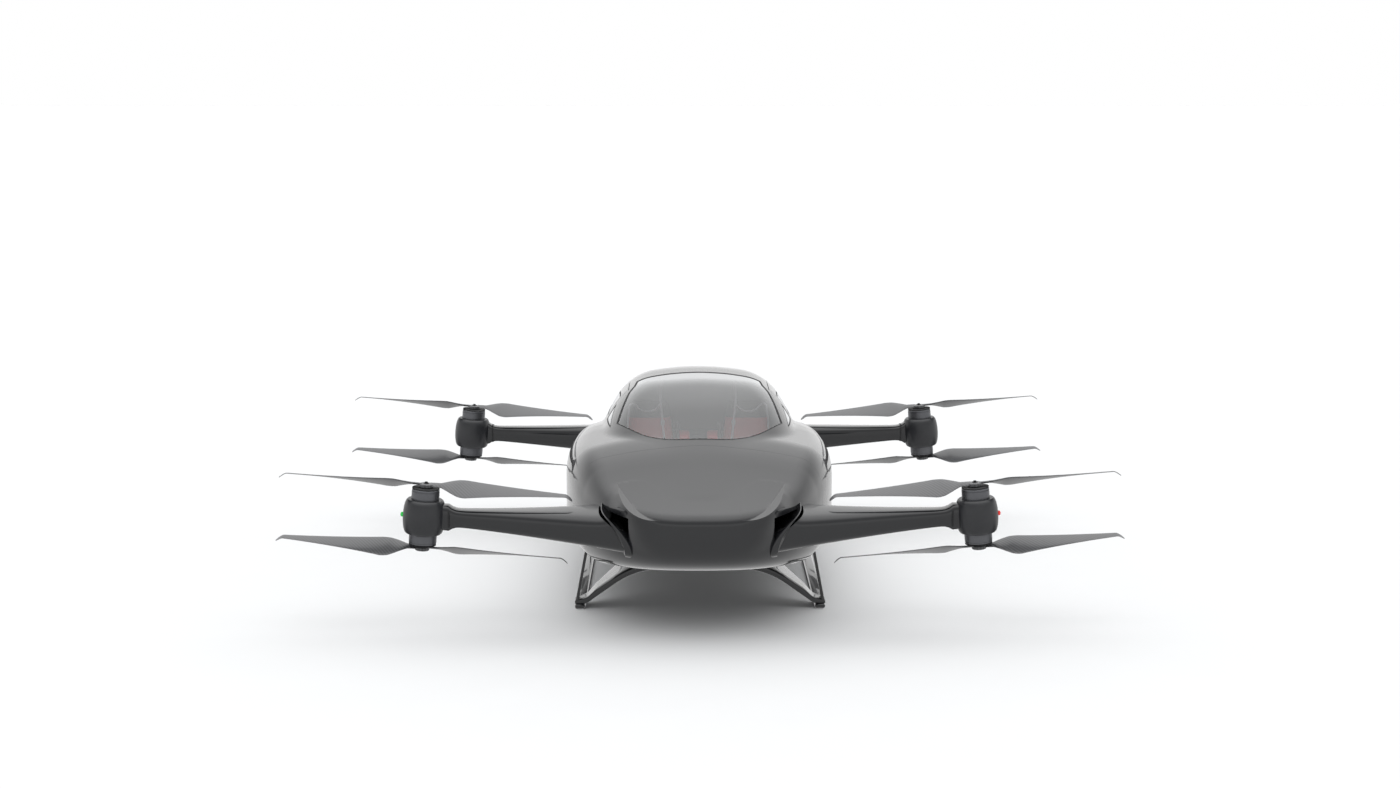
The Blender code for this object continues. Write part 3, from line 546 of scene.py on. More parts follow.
def noseField(x, y, z):
    # the body with its nose pushed forward under the two ledges; the hood above is cut back later
    across = np.sin(math.pi * ledgeShare(x)) ** ledge["swellPower"]
    over = z - ledgeHeight(x, y)
    span = np.where(over > 0, ledge["above"], ledge["below"])
    near = np.clip(1 - np.abs(over) / span, 0.0, 1.0)
    forward = np.clip((-y - ledge["fadeFrom"]) / ledge["fadeLength"], 0.0, 1.0)
    return bodyField(x, y, z, 1.0) - ledge["push"] * across * near * near * (3 - 2 * near) * forward


def plainField(x, y, z):
    # the body a hair larger, so that only what was pushed out lies outside it
    return bodyField(x, y, z, 1.0) - ledge["hair"]


cast = {"centre": (0.0, 0.0, 0.80), "height": 0.60, "near": 0.05, "far": 1.6, "halvings": 30}


def castSkin(name, field, inset, cuts):
    # a finely divided cube whose corners are moved along rays until they lie on the form
    deselectAll()
    bpy.ops.mesh.primitive_cube_add(size=2)
    made = named(name)
    editAll(made)
    bpy.ops.mesh.subdivide(number_cuts=cuts)
    leaveEdit()
    rays = np.tan(readPoints(made) * math.pi / 4)
    rays = rays / np.linalg.norm(rays, axis=1)[:, None] * (hull["halfWidth"], hull["nose"], cast["height"])
    centre = np.array(cast["centre"])
    near = np.full(len(rays), cast["near"])
    far = np.full(len(rays), cast["far"])
    for _ in range(cast["halvings"]):
        middle = (near + far) / 2
        x, y, z = (centre + rays * middle[:, None]).T
        inside = field(x, y, z) < -inset
        near = np.where(inside, middle, near)
        far = np.where(inside, far, middle)
    writePoints(made, centre + rays * near[:, None])
    return made


# arms: a superellipse section that grows towards the body and closes in a rounded, leaning end

rotor = {"x": 1.76, "y": 1.50, "z": 0.745, "tilt": math.radians(4.85), "offset": 0.205}
arm = {
    "tipHeight": 0.103, "rootHeight": 0.262, "tipChord": 0.098, "rootChord": 0.380,
    "rootX": 0.455, "rootY": 1.545, "rootZ": 0.672, "noseDown": 0.14, "inboard": 0.030,
    "cap": {-1: 0.055, 1: 0.130}, "lean": {-1: 0.22, 1: 0.13}, "leanPower": {-1: 2.5, 1: 2.0},
    "fillet": 0.030, "filletFade": 0.022, "podRadius": 0.135, "squareness": 0.55,
    "flarePower": 1.35, "capPower": 2.4, "capStart": 0.004, "leanFade": 6, "sleeveRoom": 0.0015,
    "collar": (0.872, 0.880), "collarRoom": 0.0022,
}
recess = {"below": 0.015, "foot": 0.05, "top": 0.802, "drop": 0.012, "shoulder": 0.015, "rear": -1.42}


def armPoint(side, end, t, turn, grow=0.0, shift=0.0):
    reach = (rotor["x"] - arm["rootX"]) * t
    flare = (1 - t) ** arm["flarePower"]
    openShare = 1 - np.minimum((reach + arm["capStart"]) / arm["cap"][end], 1.0)
    cap = (1 - openShare ** arm["capPower"]) ** (1 / arm["capPower"])
    toPod = np.maximum(rotor["x"] - arm["podRadius"] - arm["rootX"] - reach, 0.0)
    fillet = arm["fillet"] * np.exp(-toPod / arm["filletFade"])
    halfHeight = (arm["tipHeight"] + (arm["rootHeight"] - arm["tipHeight"]) * flare) / 2 * cap + grow + fillet
    halfChord = (arm["tipChord"] + (arm["rootChord"] - arm["tipChord"]) * flare) / 2 * cap + grow
    y = arm["rootY"] + (rotor["y"] - arm["rootY"]) * t
    z = arm["rootZ"] + (rotor["z"] - arm["rootZ"]) * t
    across = np.sign(np.cos(turn)) * np.abs(np.cos(turn)) ** arm["squareness"] * halfChord
    upward = np.sign(np.sin(turn)) * np.abs(np.sin(turn)) ** arm["squareness"] * halfHeight
    leaning = ((1 + upward / halfHeight) / 2) ** arm["leanPower"][end] * (1 - t) ** arm["leanFade"]
    lean = arm["lean"][end] * leaning
    x = arm["rootX"] + reach + lean - shift
    return np.stack((side * x, end * (y + across), z + upward - arm["noseDown"] * across * flare), axis=1)


def armLoft(name, side, end, tLow=0.0, tHigh=1.0, grow=0.0, shift=0.0, lengthwise=90, around=72, power=1.8):
    def lay(u, v):
        t = tLow + (tHigh - tLow) * u ** power
        return armPoint(side, end, t, 2 * math.pi * v, grow, shift)

    return shapedGrid(name, lengthwise, around, lay)


def armRecess(side, grow):
    inner = arm["rootX"] - grow
    low = arm["rootZ"] - arm["rootHeight"] / 2 - recess["below"] - grow
    top = recess["top"] + grow
    shoulder = arm["rootX"] + arm["lean"][-1] + recess["shoulder"]
    far = panels["far"]
    outline = [(inner, low + recess["foot"]), (inner, top - recess["drop"]), (shoulder, top), (far, top)]
    outline += [(far, low), (shoulder, low)]
    return prism("armRecess", [(side * x, z) for x, z in outline], "Y", -far, recess["rear"] + grow)


def ledgeBlock(side):
    # all that lies above a ledge, for cutting the pushed-out nose back to the hood
    outline = [(ledge["outer"], panels["far"]), (ledge["inner"], panels["far"])]
    steps = 16
    for i in range(steps + 1):
        x = ledge["inner"] + (ledge["outer"] - ledge["inner"]) * i / steps
        outline.append((x, float(ledgeHeight(np.array(x), ledge["station"]))))
    made = prism("ledgeBlock", [(side * x, z) for x, z in outline], "Y", -panels["far"], ledge["rear"])
    points = readPoints(made)
    points[:, 2] += (points[:, 1] - ledge["station"]) * math.tan(ledge["slope"])
    writePoints(made, points)
    return made


def screenOutline(shrink, deeper=0.0):
    # the windscreen's edge from above, with a deeper band along the roof header
    half = screen["corner"] - shrink
    steps = 36
    front = []
    for i in range(steps + 1):
        x = half * (2 * i / steps - 1)
        swept = canopy["screenStation"] + screen["cornerSweep"] * abs(x / screen["corner"]) ** 3
        front.append((x, swept + screen["edge"] + shrink))
    side = [(x - shrink, y - shrink - (deeper if y > 0 else 0.0)) for x, y in screen["side"]]
    mirrored = [(-x, y) for x, y in reversed(side)]
    return front + side + [(0.0, screen["header"] - shrink - deeper)] + mirrored


windows = {"belowDeck": 0.035, "share": 0.50, "inner": 0.3, "outer": 1.3, "rubber": 0.012}
slack = {"pane": 0.0008, "seal": 0.001, "lip": 0.0012, "foot": 0.002}
windowLine = hull["deck"] - windows["belowDeck"]
windowTop = windowLine + windows["share"] * (canopy["roof"] - windowLine)
quarterWindow = [(-0.50, 0.0), (-0.155, 0.0), (-0.155, 0.75)]
doorWindow = [(-0.05, 0.0), (0.70, 0.0), (0.60, 0.42), (0.40, 0.79), (0.10, 0.98), (-0.05, 1.0)]


def sideSpan(side):
    return sorted((side * windows["inner"], side * windows["outer"]))


def sideOutline(corners):
    return [(y, windowLine + (windowTop - windowLine) * share) for y, share in corners]


def drawnIn(outline, gap):
    # a convex outline with every side moved in by the gap
    made = []
    middle = Vector((sum(p[0] for p in outline) / len(outline), sum(p[1] for p in outline) / len(outline)))
    for i in range(len(outline)):
        a, b, c = Vector(outline[i - 1]), Vector(outline[i]), Vector(outline[(i + 1) % len(outline)])
        normals = []
        for line in ((b - a).normalized(), (c - b).normalized()):
            normal = Vector((-line.y, line.x))
            if normal.dot(middle - b) < 0:
                normal.negate()
            normals.append(normal)
        bisector = (normals[0] + normals[1]).normalized()
        made.append(tuple(b + bisector * gap / max(bisector.dot(normals[0]), 0.3)))
    return made


def lineInside(obj):
    # outer faces take the paint and the inner wall of the cabin the lining
    obj.data.materials.clear()
    obj.data.materials.append(paint)
    obj.data.materials.append(lining)
    centres = np.empty(len(obj.data.polygons) * 3)
    obj.data.polygons.foreach_get("center", centres)
    x, y, z = centres.reshape(-1, 3).T
    deep = bodyField(x, y, z) < -hull["wall"] * panels["lined"]
    beside = (y > panels["noseSplit"] - 0.01) & (y < panels["tailSplit"] - 0.05)
    obj.data.polygons.foreach_set("material_index", (deep & beside).astype(np.int32))


def skinTop(x, y):
    low, high = 1.0, 1.6
    for _ in range(24):
        middle = (low + high) / 2
        if bodyField(np.array(x), np.array(y), middle) < 0:
            low = middle
        else:
            high = middle
    return low


def hingeGroove(side):
    # room under the roof's edge for the door's upper edge as it swings up and inward
    low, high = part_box("door_hinge_left")
    axis = (low.z + high.z) / 2
    front = panels["doorFront"] - panels["doorGap"]
    stations = np.linspace(front, panels["doorRear"] + panels["doorGap"], 30)
    rows = [(0.0, stations[0])]
    for y in stations:
        above = max(skinTop(panels["hingeX"], y) - axis, 0.0)
        rows.append((math.hypot(panels["doorGap"] / 2, above) + panels["hingeRoom"], y))
    rows.append((0.0, stations[-1]))
    place = Matrix.Translation((side * panels["hingeX"], 0.0, axis)) @ Matrix.Rotation(-math.pi / 2, 4, "X")
    return turned("hingeGroove", rows, 48, place)


def makeBody():
    far = panels["far"]
    seam = panels["seam"] / 2
    outer = castSkin("outerSkin", noseField, 0.0, 119)
    inner = castSkin("innerSkin", bodyField, hull["wall"], 63)
    hood = castSkin("hoodSkin", plainField, 0.0, 119)
    for side in (-1, 1):
        for obj, cutter in (
            (outer, armRecess(side, 0.0)),
            (inner, armRecess(side, hull["wall"])),
        ):
            cut(obj, cutter)
            discard(cutter)
        above = ledgeBlock(side)
        cut(above, hood)
        cut(outer, above)
        sleeve = armLoft("sleeve", side, 1, grow=arm["sleeveRoom"])
        cut(outer, sleeve)
        discard(above, sleeve)
    cut(outer, inner)
    discard(inner, hood)

    def panel(name, low, high, body, replaced, more=()):
        made = copyPiece(outer, name)
        region = block("region", low, high)
        cut(made, region, "INTERSECT")
        discard(region)
        for cutter in more:
            cut(made, cutter)
            discard(cutter)
        lineInside(made)
        finishPiece(made, body, None, replaced)

    front = panels["noseSplit"]
    rear = panels["tailSplit"]
    panel("nose_cowl_skin", (-far, -far, -far), (far, front - seam, far), "root", ["nose_cowl"])
    panel("tail_cowl_skin", (-far, rear + seam, -far), (far, far, far), "root", ["tail_cowl"])
    panel(
        "lower_tub_skin", (-far, front + seam, -far), (far, rear - seam, panels["sill"] - seam),
        "root", ["lower_tub"],
    )
    openings = [prism("opening", screenOutline(0.0), "Z", screen["from"] - 0.15, screen["to"])]
    for side in (-1, 1):
        low, high = sorted((side * (panels["hingeX"] - panels["doorGap"] / 2), side * far))
        door = (panels["doorFront"] - panels["doorGap"], panels["doorRear"] + panels["doorGap"])
        openings.append(block("opening", (low, door[0], -1), (high, door[1], far)))
        openings.append(prism("opening", sideOutline(quarterWindow), "X", *sideSpan(side)))
        openings.append(hingeGroove(side))
    panel(
        "cabin_frame_skin", (-far, front + seam, panels["sill"] + seam), (far, rear - seam, far),
        "root", ["cabin_frame"], more=openings,
    )
    for side, word in ((1, "left"), (-1, "right")):
        low, high = sorted((side * (panels["hingeX"] + panels["doorGap"] / 2), side * far))
        window = prism("opening", sideOutline(doorWindow), "X", *sideSpan(side))
        panel(
            "door_skin_" + word,
            (low, panels["doorFront"], panels["sill"] + panels["doorGap"]), (high, panels["doorRear"], far),
            "door_" + word, ["door_" + word], more=[window],
        )
    discard(outer)
    print("body panels cut")


def makeGlass():
    inset = panels["glassInset"]
    sheet = castSkin("glassSheet", bodyField, inset, 95)
    back = castSkin("glassBack", bodyField, inset + panels["glassThickness"], 95)
    cut(sheet, back)
    band = castSkin("bandSheet", bodyField, inset - slack["lip"], 95)
    bandBack = castSkin("bandBack", bodyField, inset + panels["glassThickness"] + slack["foot"], 95)
    cut(band, bandBack)
    discard(back, bandBack)

    def pane(name, cutter, body, replaced):
        made = copyPiece(sheet, name)
        cut(made, cutter, "INTERSECT")
        discard(cutter)
        finishPiece(made, body, glass, replaced)

    def rubberEdge(name, whole, clear, body):
        made = copyPiece(band, name)
        cut(made, whole, "INTERSECT")
        cut(made, clear)
        discard(whole, clear)
        finishPiece(made, body, sealRubber)

    low, high = screen["from"], screen["to"]
    edge = prism("edge", screenOutline(slack["pane"]), "Z", low, high)
    pane("windscreen_pane", edge, "root", ["windscreen"])
    rubberEdge(
        "windscreen_seal", prism("edge", screenOutline(slack["seal"]), "Z", low, high),
        prism("clear", screenOutline(screen["rubber"], screen["band"]), "Z", low - 0.05, high + 0.1), "root",
    )
    for side, word in ((1, "left"), (-1, "right")):
        low, high = sideSpan(side)
        for kind, corners, body in (("quarter", quarterWindow, "root"), ("door", doorWindow, "door_" + word)):
            edge = sideOutline(corners)
            node = kind + "_glass_" + word
            pane(node + "_pane", prism("edge", drawnIn(edge, slack["pane"]), "X", low, high), body, [node])
            clear = prism("clear", drawnIn(edge, windows["rubber"]), "X", low - 0.1, high + 0.1)
            whole = prism("edge", drawnIn(edge, slack["seal"]), "X", low, high)
            rubberEdge(node + "_seal", whole, clear, body)
    discard(sheet, band)
    print("glass and its seals set")


def makeDoorSeals():
    # rubber strips on the cabin side of the seams, 5 mm clear of the doors' inner wall
    depth = hull["wall"] + panels["sealRoom"]
    strip = castSkin("stripSheet", bodyField, depth, 63)
    back = castSkin("stripBack", bodyField, depth + panels["sealThickness"], 63)
    cut(strip, back)
    discard(back)
    for side, word in ((1, "left"), (-1, "right")):
        made = copyPiece(strip, "door_seal_" + word)
        outward = panels["doorGap"] + panels["sealLap"]
        for grow, operation in ((outward, "INTERSECT"), (-panels["sealLap"], "DIFFERENCE")):
            low, high = sorted((side * (panels["hingeX"] - grow), side * panels["far"]))
            region = block(
                "lap", (low, panels["doorFront"] - grow, panels["sill"] - grow),
                (high, panels["doorRear"] + grow, panels["far"]),
            )
            cut(made, region, operation)
            discard(region)
        finishPiece(made, "root", sealRubber)
    discard(strip)
    print("door seals laid")


cuff = {
    "grow": 0.026, "shift": 0.020, "reach": 0.055,
    "hollowGrow": 0.010, "hollowShift": 0.004, "hollowReach": 0.3,
}


def makeArms():
    for end, place in ((-1, "front"), (1, "rear")):
        for side, word in ((1, "left"), (-1, "right")):
            where = place + "_" + word
            made = armLoft("arm_skin_" + where, side, end, shift=arm["inboard"] if end < 0 else 0.0)
            finishPiece(made, "root", paint, ["arm_" + where], 50)
            low, high = arm["collar"]
            collar = armLoft(
                "arm_collar_" + where, side, end, low, high, arm["collarRoom"], lengthwise=3, power=1.0,
            )
            finishPiece(collar, "root", sealRubber)
    for side, word in ((1, "left"), (-1, "right")):
        made = armLoft(
            "arm_cuff_" + word, side, -1, 0.0, cuff["reach"], cuff["grow"],
            cuff["shift"] + arm["inboard"], 30, power=1.4,
        )
        hollow = armLoft(
            "hollow", side, -1, 0.0, cuff["hollowReach"], cuff["hollowGrow"],
            cuff["hollowShift"] + arm["inboard"], 40, power=1.4,
        )
        cut(made, hollow)
        discard(hollow)
        finishPiece(made, "root", paint, (), 40)
    print("arms lofted")


# rotors: pod, two motors and two blades pairs on each axis

pod = {
    "radius": 0.135, "half": 0.110, "motorRadius": 0.088, "motorHeight": 0.068, "flat": 0.012,
    "ringLift": 0.0035, "ringInner": 0.040, "ringOuter": 0.087, "ringHeight": 0.004,
    "screws": 6, "screwCircle": 0.068, "screwRadius": 0.006, "screwHeight": 0.003,
}
blade = {
    "radius": 0.93, "hub": 0.046, "hubHeight": 0.034, "chord": 0.180, "rootChord": 0.052, "tipChord": 0.052,
    "swellFrom": 0.10, "widest": 0.28, "roundFrom": 0.985, "droopFrom": 0.95, "drop": 0.030,
    "thickness": 0.013, "thinning": 0.72, "tipThickness": 0.002, "setBack": 0.10,
    "rootPitch": math.radians(36.0), "tipPitch": math.radians(9.0), "pitchedFrom": 0.22, "foot": 0.55,
}


def rotorPlace(side, end, offset=0.0):
    lean = Matrix.Rotation(-side * rotor["tilt"], 4, "Y")
    middle = Matrix.Translation((side * rotor["x"], end * rotor["y"], rotor["z"]))
    return middle @ lean @ Matrix.Translation((0, 0, offset))


def podProfile():
    rows = [(0.0, -pod["half"])]
    flat = pod["motorRadius"] + pod["flat"]
    steps = 40
    for i in range(steps + 1):
        t = -1 + 2 * i / steps
        bulge = math.sqrt(max(1 - (t * 0.98) ** 2, 0.0)) ** 0.75
        rows.append((flat + (pod["radius"] - flat) * bulge, t * pod["half"]))
    rows.append((0.0, pod["half"]))
    return rows


def motorProfile(sign):
    radius = pod["motorRadius"]
    top = pod["half"] + pod["motorHeight"]
    hubFoot = rotor["offset"] - blade["hubHeight"] / 2 - 0.0006
    rows = [
        (0.0, pod["half"] - 0.02), (radius, pod["half"] - 0.02), (radius, pod["half"] + 0.004),
        (radius - 0.003, pod["half"] + 0.0045), (radius - 0.003, pod["half"] + 0.007),
        (radius, pod["half"] + 0.0075), (radius, top - 0.016), (radius - 0.004, top - 0.0155),
        (radius - 0.004, top - 0.011), (radius - 0.001, top - 0.0105), (radius - 0.001, top - 0.003),
        (radius - 0.004, top), (0.030, top), (0.028, hubFoot), (0.0, hubFoot),
    ]
    return [(r, sign * h) for r, h in rows]


def bladeHalf(name, direction, hand):
    def lay(u, v):
        foot = blade["hub"] * blade["foot"]
        r = foot + (blade["radius"] - foot) * u
        share = r / blade["radius"]
        widest = blade["widest"]
        grown = np.clip((share - blade["swellFrom"]) / (widest - blade["swellFrom"]), 0.0, 1.0)
        swell = np.sin(grown * math.pi / 2)
        inboard = blade["rootChord"] + (blade["chord"] - blade["rootChord"]) * swell
        beyond = np.clip((share - widest) / (1 - widest), 0, 1)
        outboard = blade["chord"] + (blade["tipChord"] - blade["chord"]) * beyond ** 0.9
        chord = np.where(share < widest, inboard, outboard)
        rounded = np.maximum(share - blade["roundFrom"], 0) / (1 - blade["roundFrom"])
        chord = chord * np.clip(1 - rounded, 0.25, 1) ** 0.5
        pitch = blade["tipPitch"] + (blade["rootPitch"] - blade["tipPitch"]) * (1 - share) ** 1.2
        pitch = pitch * np.minimum(0.3 + 0.7 * share / blade["pitchedFrom"], 1.0)
        drooped = np.maximum((share - blade["droopFrom"]) / (1 - blade["droopFrom"]), 0.0)
        drop = blade["drop"] * drooped ** 1.5
        thick = blade["thickness"] * (1 - blade["thinning"] * share) + blade["tipThickness"]
        turn = 2 * math.pi * v
        across = np.cos(turn) * chord / 2 - blade["setBack"] * chord * np.minimum(swell, 1.0)
        upward = np.where(np.sin(turn) > 0, 0.62, 0.38) * np.sin(turn) * thick * (1 + 0.25 * np.cos(turn))
        along = across * np.cos(pitch) - upward * np.sin(pitch)
        lift = across * np.sin(pitch) + upward * np.cos(pitch)
        return np.stack((direction * r, direction * hand * along, lift - drop), axis=1)

    return shapedGrid(name, 96, 28, lay)


def hubProfile():
    radius = blade["hub"]
    half = blade["hubHeight"] / 2
    return [
        (0.0, -half), (radius - 0.003, -half), (radius, -half + 0.003), (radius, half * 0.15),
        (radius * 0.92, half * 0.38), (radius * 0.72, half * 0.45), (0.0, half * 0.45),
    ]


def makeBoltHead():
    bolt = [(0.0, -0.004), (0.010, -0.004), (0.010, 0.005), (0.008, 0.007), (0.0, 0.007)]
    washer = [(0.0, -0.0045), (0.019, -0.0045), (0.019, -0.002), (0.0, -0.002)]
    flat = Matrix.Identity(4)
    return joined("bolt_head", [turned("bolt", bolt, 6, flat), turned("washer", washer, 32, flat)])


def makeMotor(side, end, sign, node):
    place = rotorPlace(side, end)
    top = pod["half"] + pod["motorHeight"]
    parts = [turned("can", motorProfile(sign), 96, place)]
    rows = [(0.0, -0.002), (pod["screwRadius"], -0.002), (pod["screwRadius"], pod["screwHeight"])]
    rows.append((0.0, pod["screwHeight"]))
    for i in range(pod["screws"]):
        turn = Matrix.Rotation(math.radians(360 / pod["screws"] * i + 20), 4, "Z")
        spot = turn @ Matrix.Translation((pod["screwCircle"], 0, 0))
        lift = Matrix.Translation((0, 0, sign * top))
        parts.append(turned("screw", rows, 10, place @ lift @ spot))
    can = joined("motor_can_" + node, parts)
    finishPiece(can, "root", metal, ["motor_" + node], 40)
    inner, outer, height = pod["ringInner"], pod["ringOuter"], pod["ringHeight"]
    ring = [(0.0, 0.0), (inner, 0.0), (outer - 0.001, 0.0), (outer, height / 2), (outer - 0.001, height)]
    ring += [(inner, height), (0.0, height)]
    place = rotorPlace(side, end, sign * (top + pod["ringLift"])) @ Matrix.Scale(sign, 4, (0, 0, 1))
    cap = turned("motor_ring_" + node, ring, 96, place)
    if sign < 0:
        cap.data.flip_normals()
    finishPiece(cap, "root", sealRubber, (), 40)


def makeRotors():
    flat = Matrix.Identity(4)
    rotors = {}
    for hand in (-1, 1):
        hub = turned("hub", hubProfile(), 48, flat)
        for direction in (-1, 1):
            half = bladeHalf("half", direction, hand)
            cut(hub, half, "UNION", "EXACT")
            discard(half)
        rotors[hand] = hub
    boltHead = makeBoltHead()
    boltSeat = rotor["offset"] + blade["hubHeight"] / 2 * 0.45 + 0.004
    for end, place in ((-1, "front"), (1, "rear")):
        for side, word in ((1, "left"), (-1, "right")):
            where = place + "_" + word
            skin = turned("pod_skin_" + where, podProfile(), 96, rotorPlace(side, end))
            finishPiece(skin, "root", podPaint, ["pod_" + where], 40)
            for sign, level in ((1, "upper"), (-1, "lower")):
                node = where + "_" + level
                makeMotor(side, end, sign, node)
                spot = rotorPlace(side, end, sign * rotor["offset"])
                made = copyPiece(rotors[-side * sign], "rotor_" + node, spot)
                finishPiece(made, "prop_" + node, twill, ["prop_" + node], 40)
                turnOver = flat if sign > 0 else Matrix.Rotation(math.pi, 4, "X")
                spot = rotorPlace(side, end, sign * boltSeat) @ turnOver
                head = copyPiece(boltHead, "rotor_bolt_" + node, spot)
                finishPiece(head, "prop_" + node, sealRubber)
    discard(rotors[-1], rotors[1], boltHead)
    for word, finish in (("left", redLens), ("right", greenLens)):
        nodes["nav_light_" + word].data.materials.clear()
        nodes["nav_light_" + word].data.materials.append(finish)
    print("pods, motors and rotors made")


# skids, their arches and the outer struts

skid = {
    "x": 0.80, "width": 0.070, "height": 0.030, "toe": 0.60, "toeLength": 0.135,
    "archY": 0.95, "depth": 0.110, "thickness": 0.055, "gap": 0.0003, "edge": 0.014, "clear": 0.0005,
    "legBlend": 0.05, "crownBlend": 0.02, "strutFoot": 0.01,
    "spread": 0.34, "widening": 0.30, "legSlope": 0.70, "crownSlope": 0.21,
    "strutTopX": 0.735, "strutTop": 0.445, "strutThickness": 0.022,
}


def roundedBox(turn, halfWide, halfTall, power=0.28):
    across = np.sign(np.cos(turn)) * np.abs(np.cos(turn)) ** power * halfWide
    upward = np.sign(np.sin(turn)) * np.abs(np.sin(turn)) ** power * halfTall
    return across, upward


def archHeight(x):
    top = hull["bottom"] - skid["thickness"] - skid["gap"]
    leg = skid["legSlope"] * (skid["x"] - np.abs(x))
    crown = top - skid["crownSlope"] * (np.abs(x) - skid["depth"])
    bowed = smoothMin(smoothMin(leg, crown, skid["legBlend"]), top, skid["crownBlend"])
    return np.maximum(bowed, skid["height"] + skid["gap"])


def makeSkids():
    for word in ("left", "right"):
        low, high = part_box("skid_" + word)
        runner = block("skid_runner_" + word, low, high, skid["edge"], 5)
        finishPiece(runner, "root", paint, ["skid_" + word], 40)
    clear = castSkin("clearSkin", bodyField, -skid["clear"], 63)
    half = skid["thickness"] / 2
    reach = skid["x"] + skid["width"] / 2
    for end, place in ((-1, "front"), (1, "rear")):
        front = skid["archY"] + skid["depth"] / 2

        def layArch(u, v):
            x = reach * (2 * u - 1)
            spread = np.clip((skid["x"] - np.abs(x)) / skid["widening"], 0.0, 1.0)
            back = skid["archY"] - skid["depth"] / 2 - skid["spread"] * spread
            toe = np.clip((np.abs(x) - reach + skid["toeLength"]) / skid["toeLength"], 0.0, 1.0)
            thin = half * (1 - skid["toe"] * toe)
            across, upward = roundedBox(2 * math.pi * v, (front - back) / 2, thin)
            return np.stack((x, end * ((front + back) / 2 + across), archHeight(x) + thin + upward), axis=1)

        arch = shapedGrid("arch", 140, 48, layArch)
        for side in (-1, 1):
            def layStrut(u, v):
                thick = skid["strutThickness"] / 2
                foot = reach - 0.001 - thick
                middle = foot + (skid["strutTopX"] + thick - foot) * u
                low = skid["height"] + skid["strutFoot"]
                z = low + (skid["strutTop"] - low) * u
                across, wide = roundedBox(2 * math.pi * v, thick, skid["depth"] / 2 - 0.001)
                return np.stack((side * (middle + across), end * (skid["archY"] + wide), z), axis=1)

            strut = shapedGrid("strut", 12, 40, layStrut)
            cut(arch, strut, "UNION")
            discard(strut)
        cut(arch, clear)
        arch.name = "skid_arch_skin_" + place
        finishPiece(arch, "root", paint, ["skid_arch_" + place], 40)
    discard(clear)
    print("skids made")


# cabin: seats, belts, shelf, display, sticks

seat = {
    "x": 0.36, "topShare": 0.64, "backAngle": math.radians(20.0), "voxel": 0.007, "pressure": 3.5,
    "beadLine": (
        (-0.158, 0.52), (-0.145, 0.80), (-0.128, 0.92), (-0.098, 0.905), (-0.070, 0.850), (-0.038, 0.822),
        (-0.008, 0.817), (0.022, 0.824), (0.052, 0.852), (0.084, 0.920),
    ),
    "cap": 0.012, "start": 0.008, "frames": 16, "bead": 0.0072, "beadFront": -0.007, "edge": 0.032,
    "channel": 0.0045, "channelWidth": 0.006, "channelFade": 0.04, "cushionChannels": (-0.13, 0.13),
    "backChannels": (-0.10, 0.10), "backThickness": 0.13,
}
belt = {
    "radius": 0.0095, "reelX": 0.088, "reel": ((0.88, 1.245), (0.62, 1.240)), "front": -0.014,
    "route": ((0.086, 0.99), (0.098, 0.70), (0.112, 0.45), (0.124, 0.22)),
    "tongueX": 0.101, "tongueHalf": 0.014, "tongue": ((-0.022, 0.62), (-0.008, 0.69)),
}


def swell(obj, limit):
    # cloth under pressure, its travel capped so that the pad stays in its room
    before = readPoints(obj)
    takeUp(obj)
    cloth = obj.modifiers.new("cloth", "CLOTH")
    cloth.settings.use_pressure = True
    cloth.settings.uniform_pressure_force = seat["pressure"]
    cloth.settings.effector_weights.gravity = 0.0
    cloth.settings.quality = 4
    scene = bpy.context.scene
    for step in range(1, seat["frames"] + 1):
        scene.frame_set(step)
    graph = bpy.context.evaluated_depsgraph_get()
    after = readPoints(obj.evaluated_get(graph))
    obj.modifiers.remove(cloth)
    travel = after - before
    length = np.linalg.norm(travel, axis=1)[:, None]
    writePoints(obj, before + travel * np.minimum(1.0, limit / np.maximum(length, 1e-9)))
    scene.frame_set(1)


def padFrom(name, size, top):
    # an upright pad from a divided and softened block, drawn in a little before it swells
    low = [-s / 2 + seat["start"] for s in size]
    high = [s / 2 - seat["start"] for s in size]
    made = block(name, low, high, seat["edge"], 4)
    points = readPoints(made)
    points[:, 0] *= 1 + (top - 1) * np.clip(points[:, 2] / size[2] + 0.5, 0, 1)
    writePoints(made, points)
    applyModifier(made, "REMESH", mode="VOXEL", voxel_size=seat["voxel"])
    swell(made, seat["cap"])
    applyModifier(made, "SMOOTH", factor=0.5, iterations=6)
    return made


def channels(obj, lines, axis, face, depth):
    # sewn channels pressed into one face after the pad has swollen
    points = readPoints(obj)
    other = 2 if face == 1 else 1
    outward = -1 if face == 1 else 1
    on = outward * points[:, face] > 0.2 * np.max(outward * points[:, face])
    for line in lines:
        fall = np.exp(-((points[:, axis] - line) / seat["channelWidth"]) ** 2)
        margin = np.max(points[:, other]) - np.abs(points[:, other])
        inside = np.clip(margin / seat["channelFade"], 0.0, 1.0)
        points[:, face] -= outward * depth * fall * inside * on
    writePoints(obj, points)


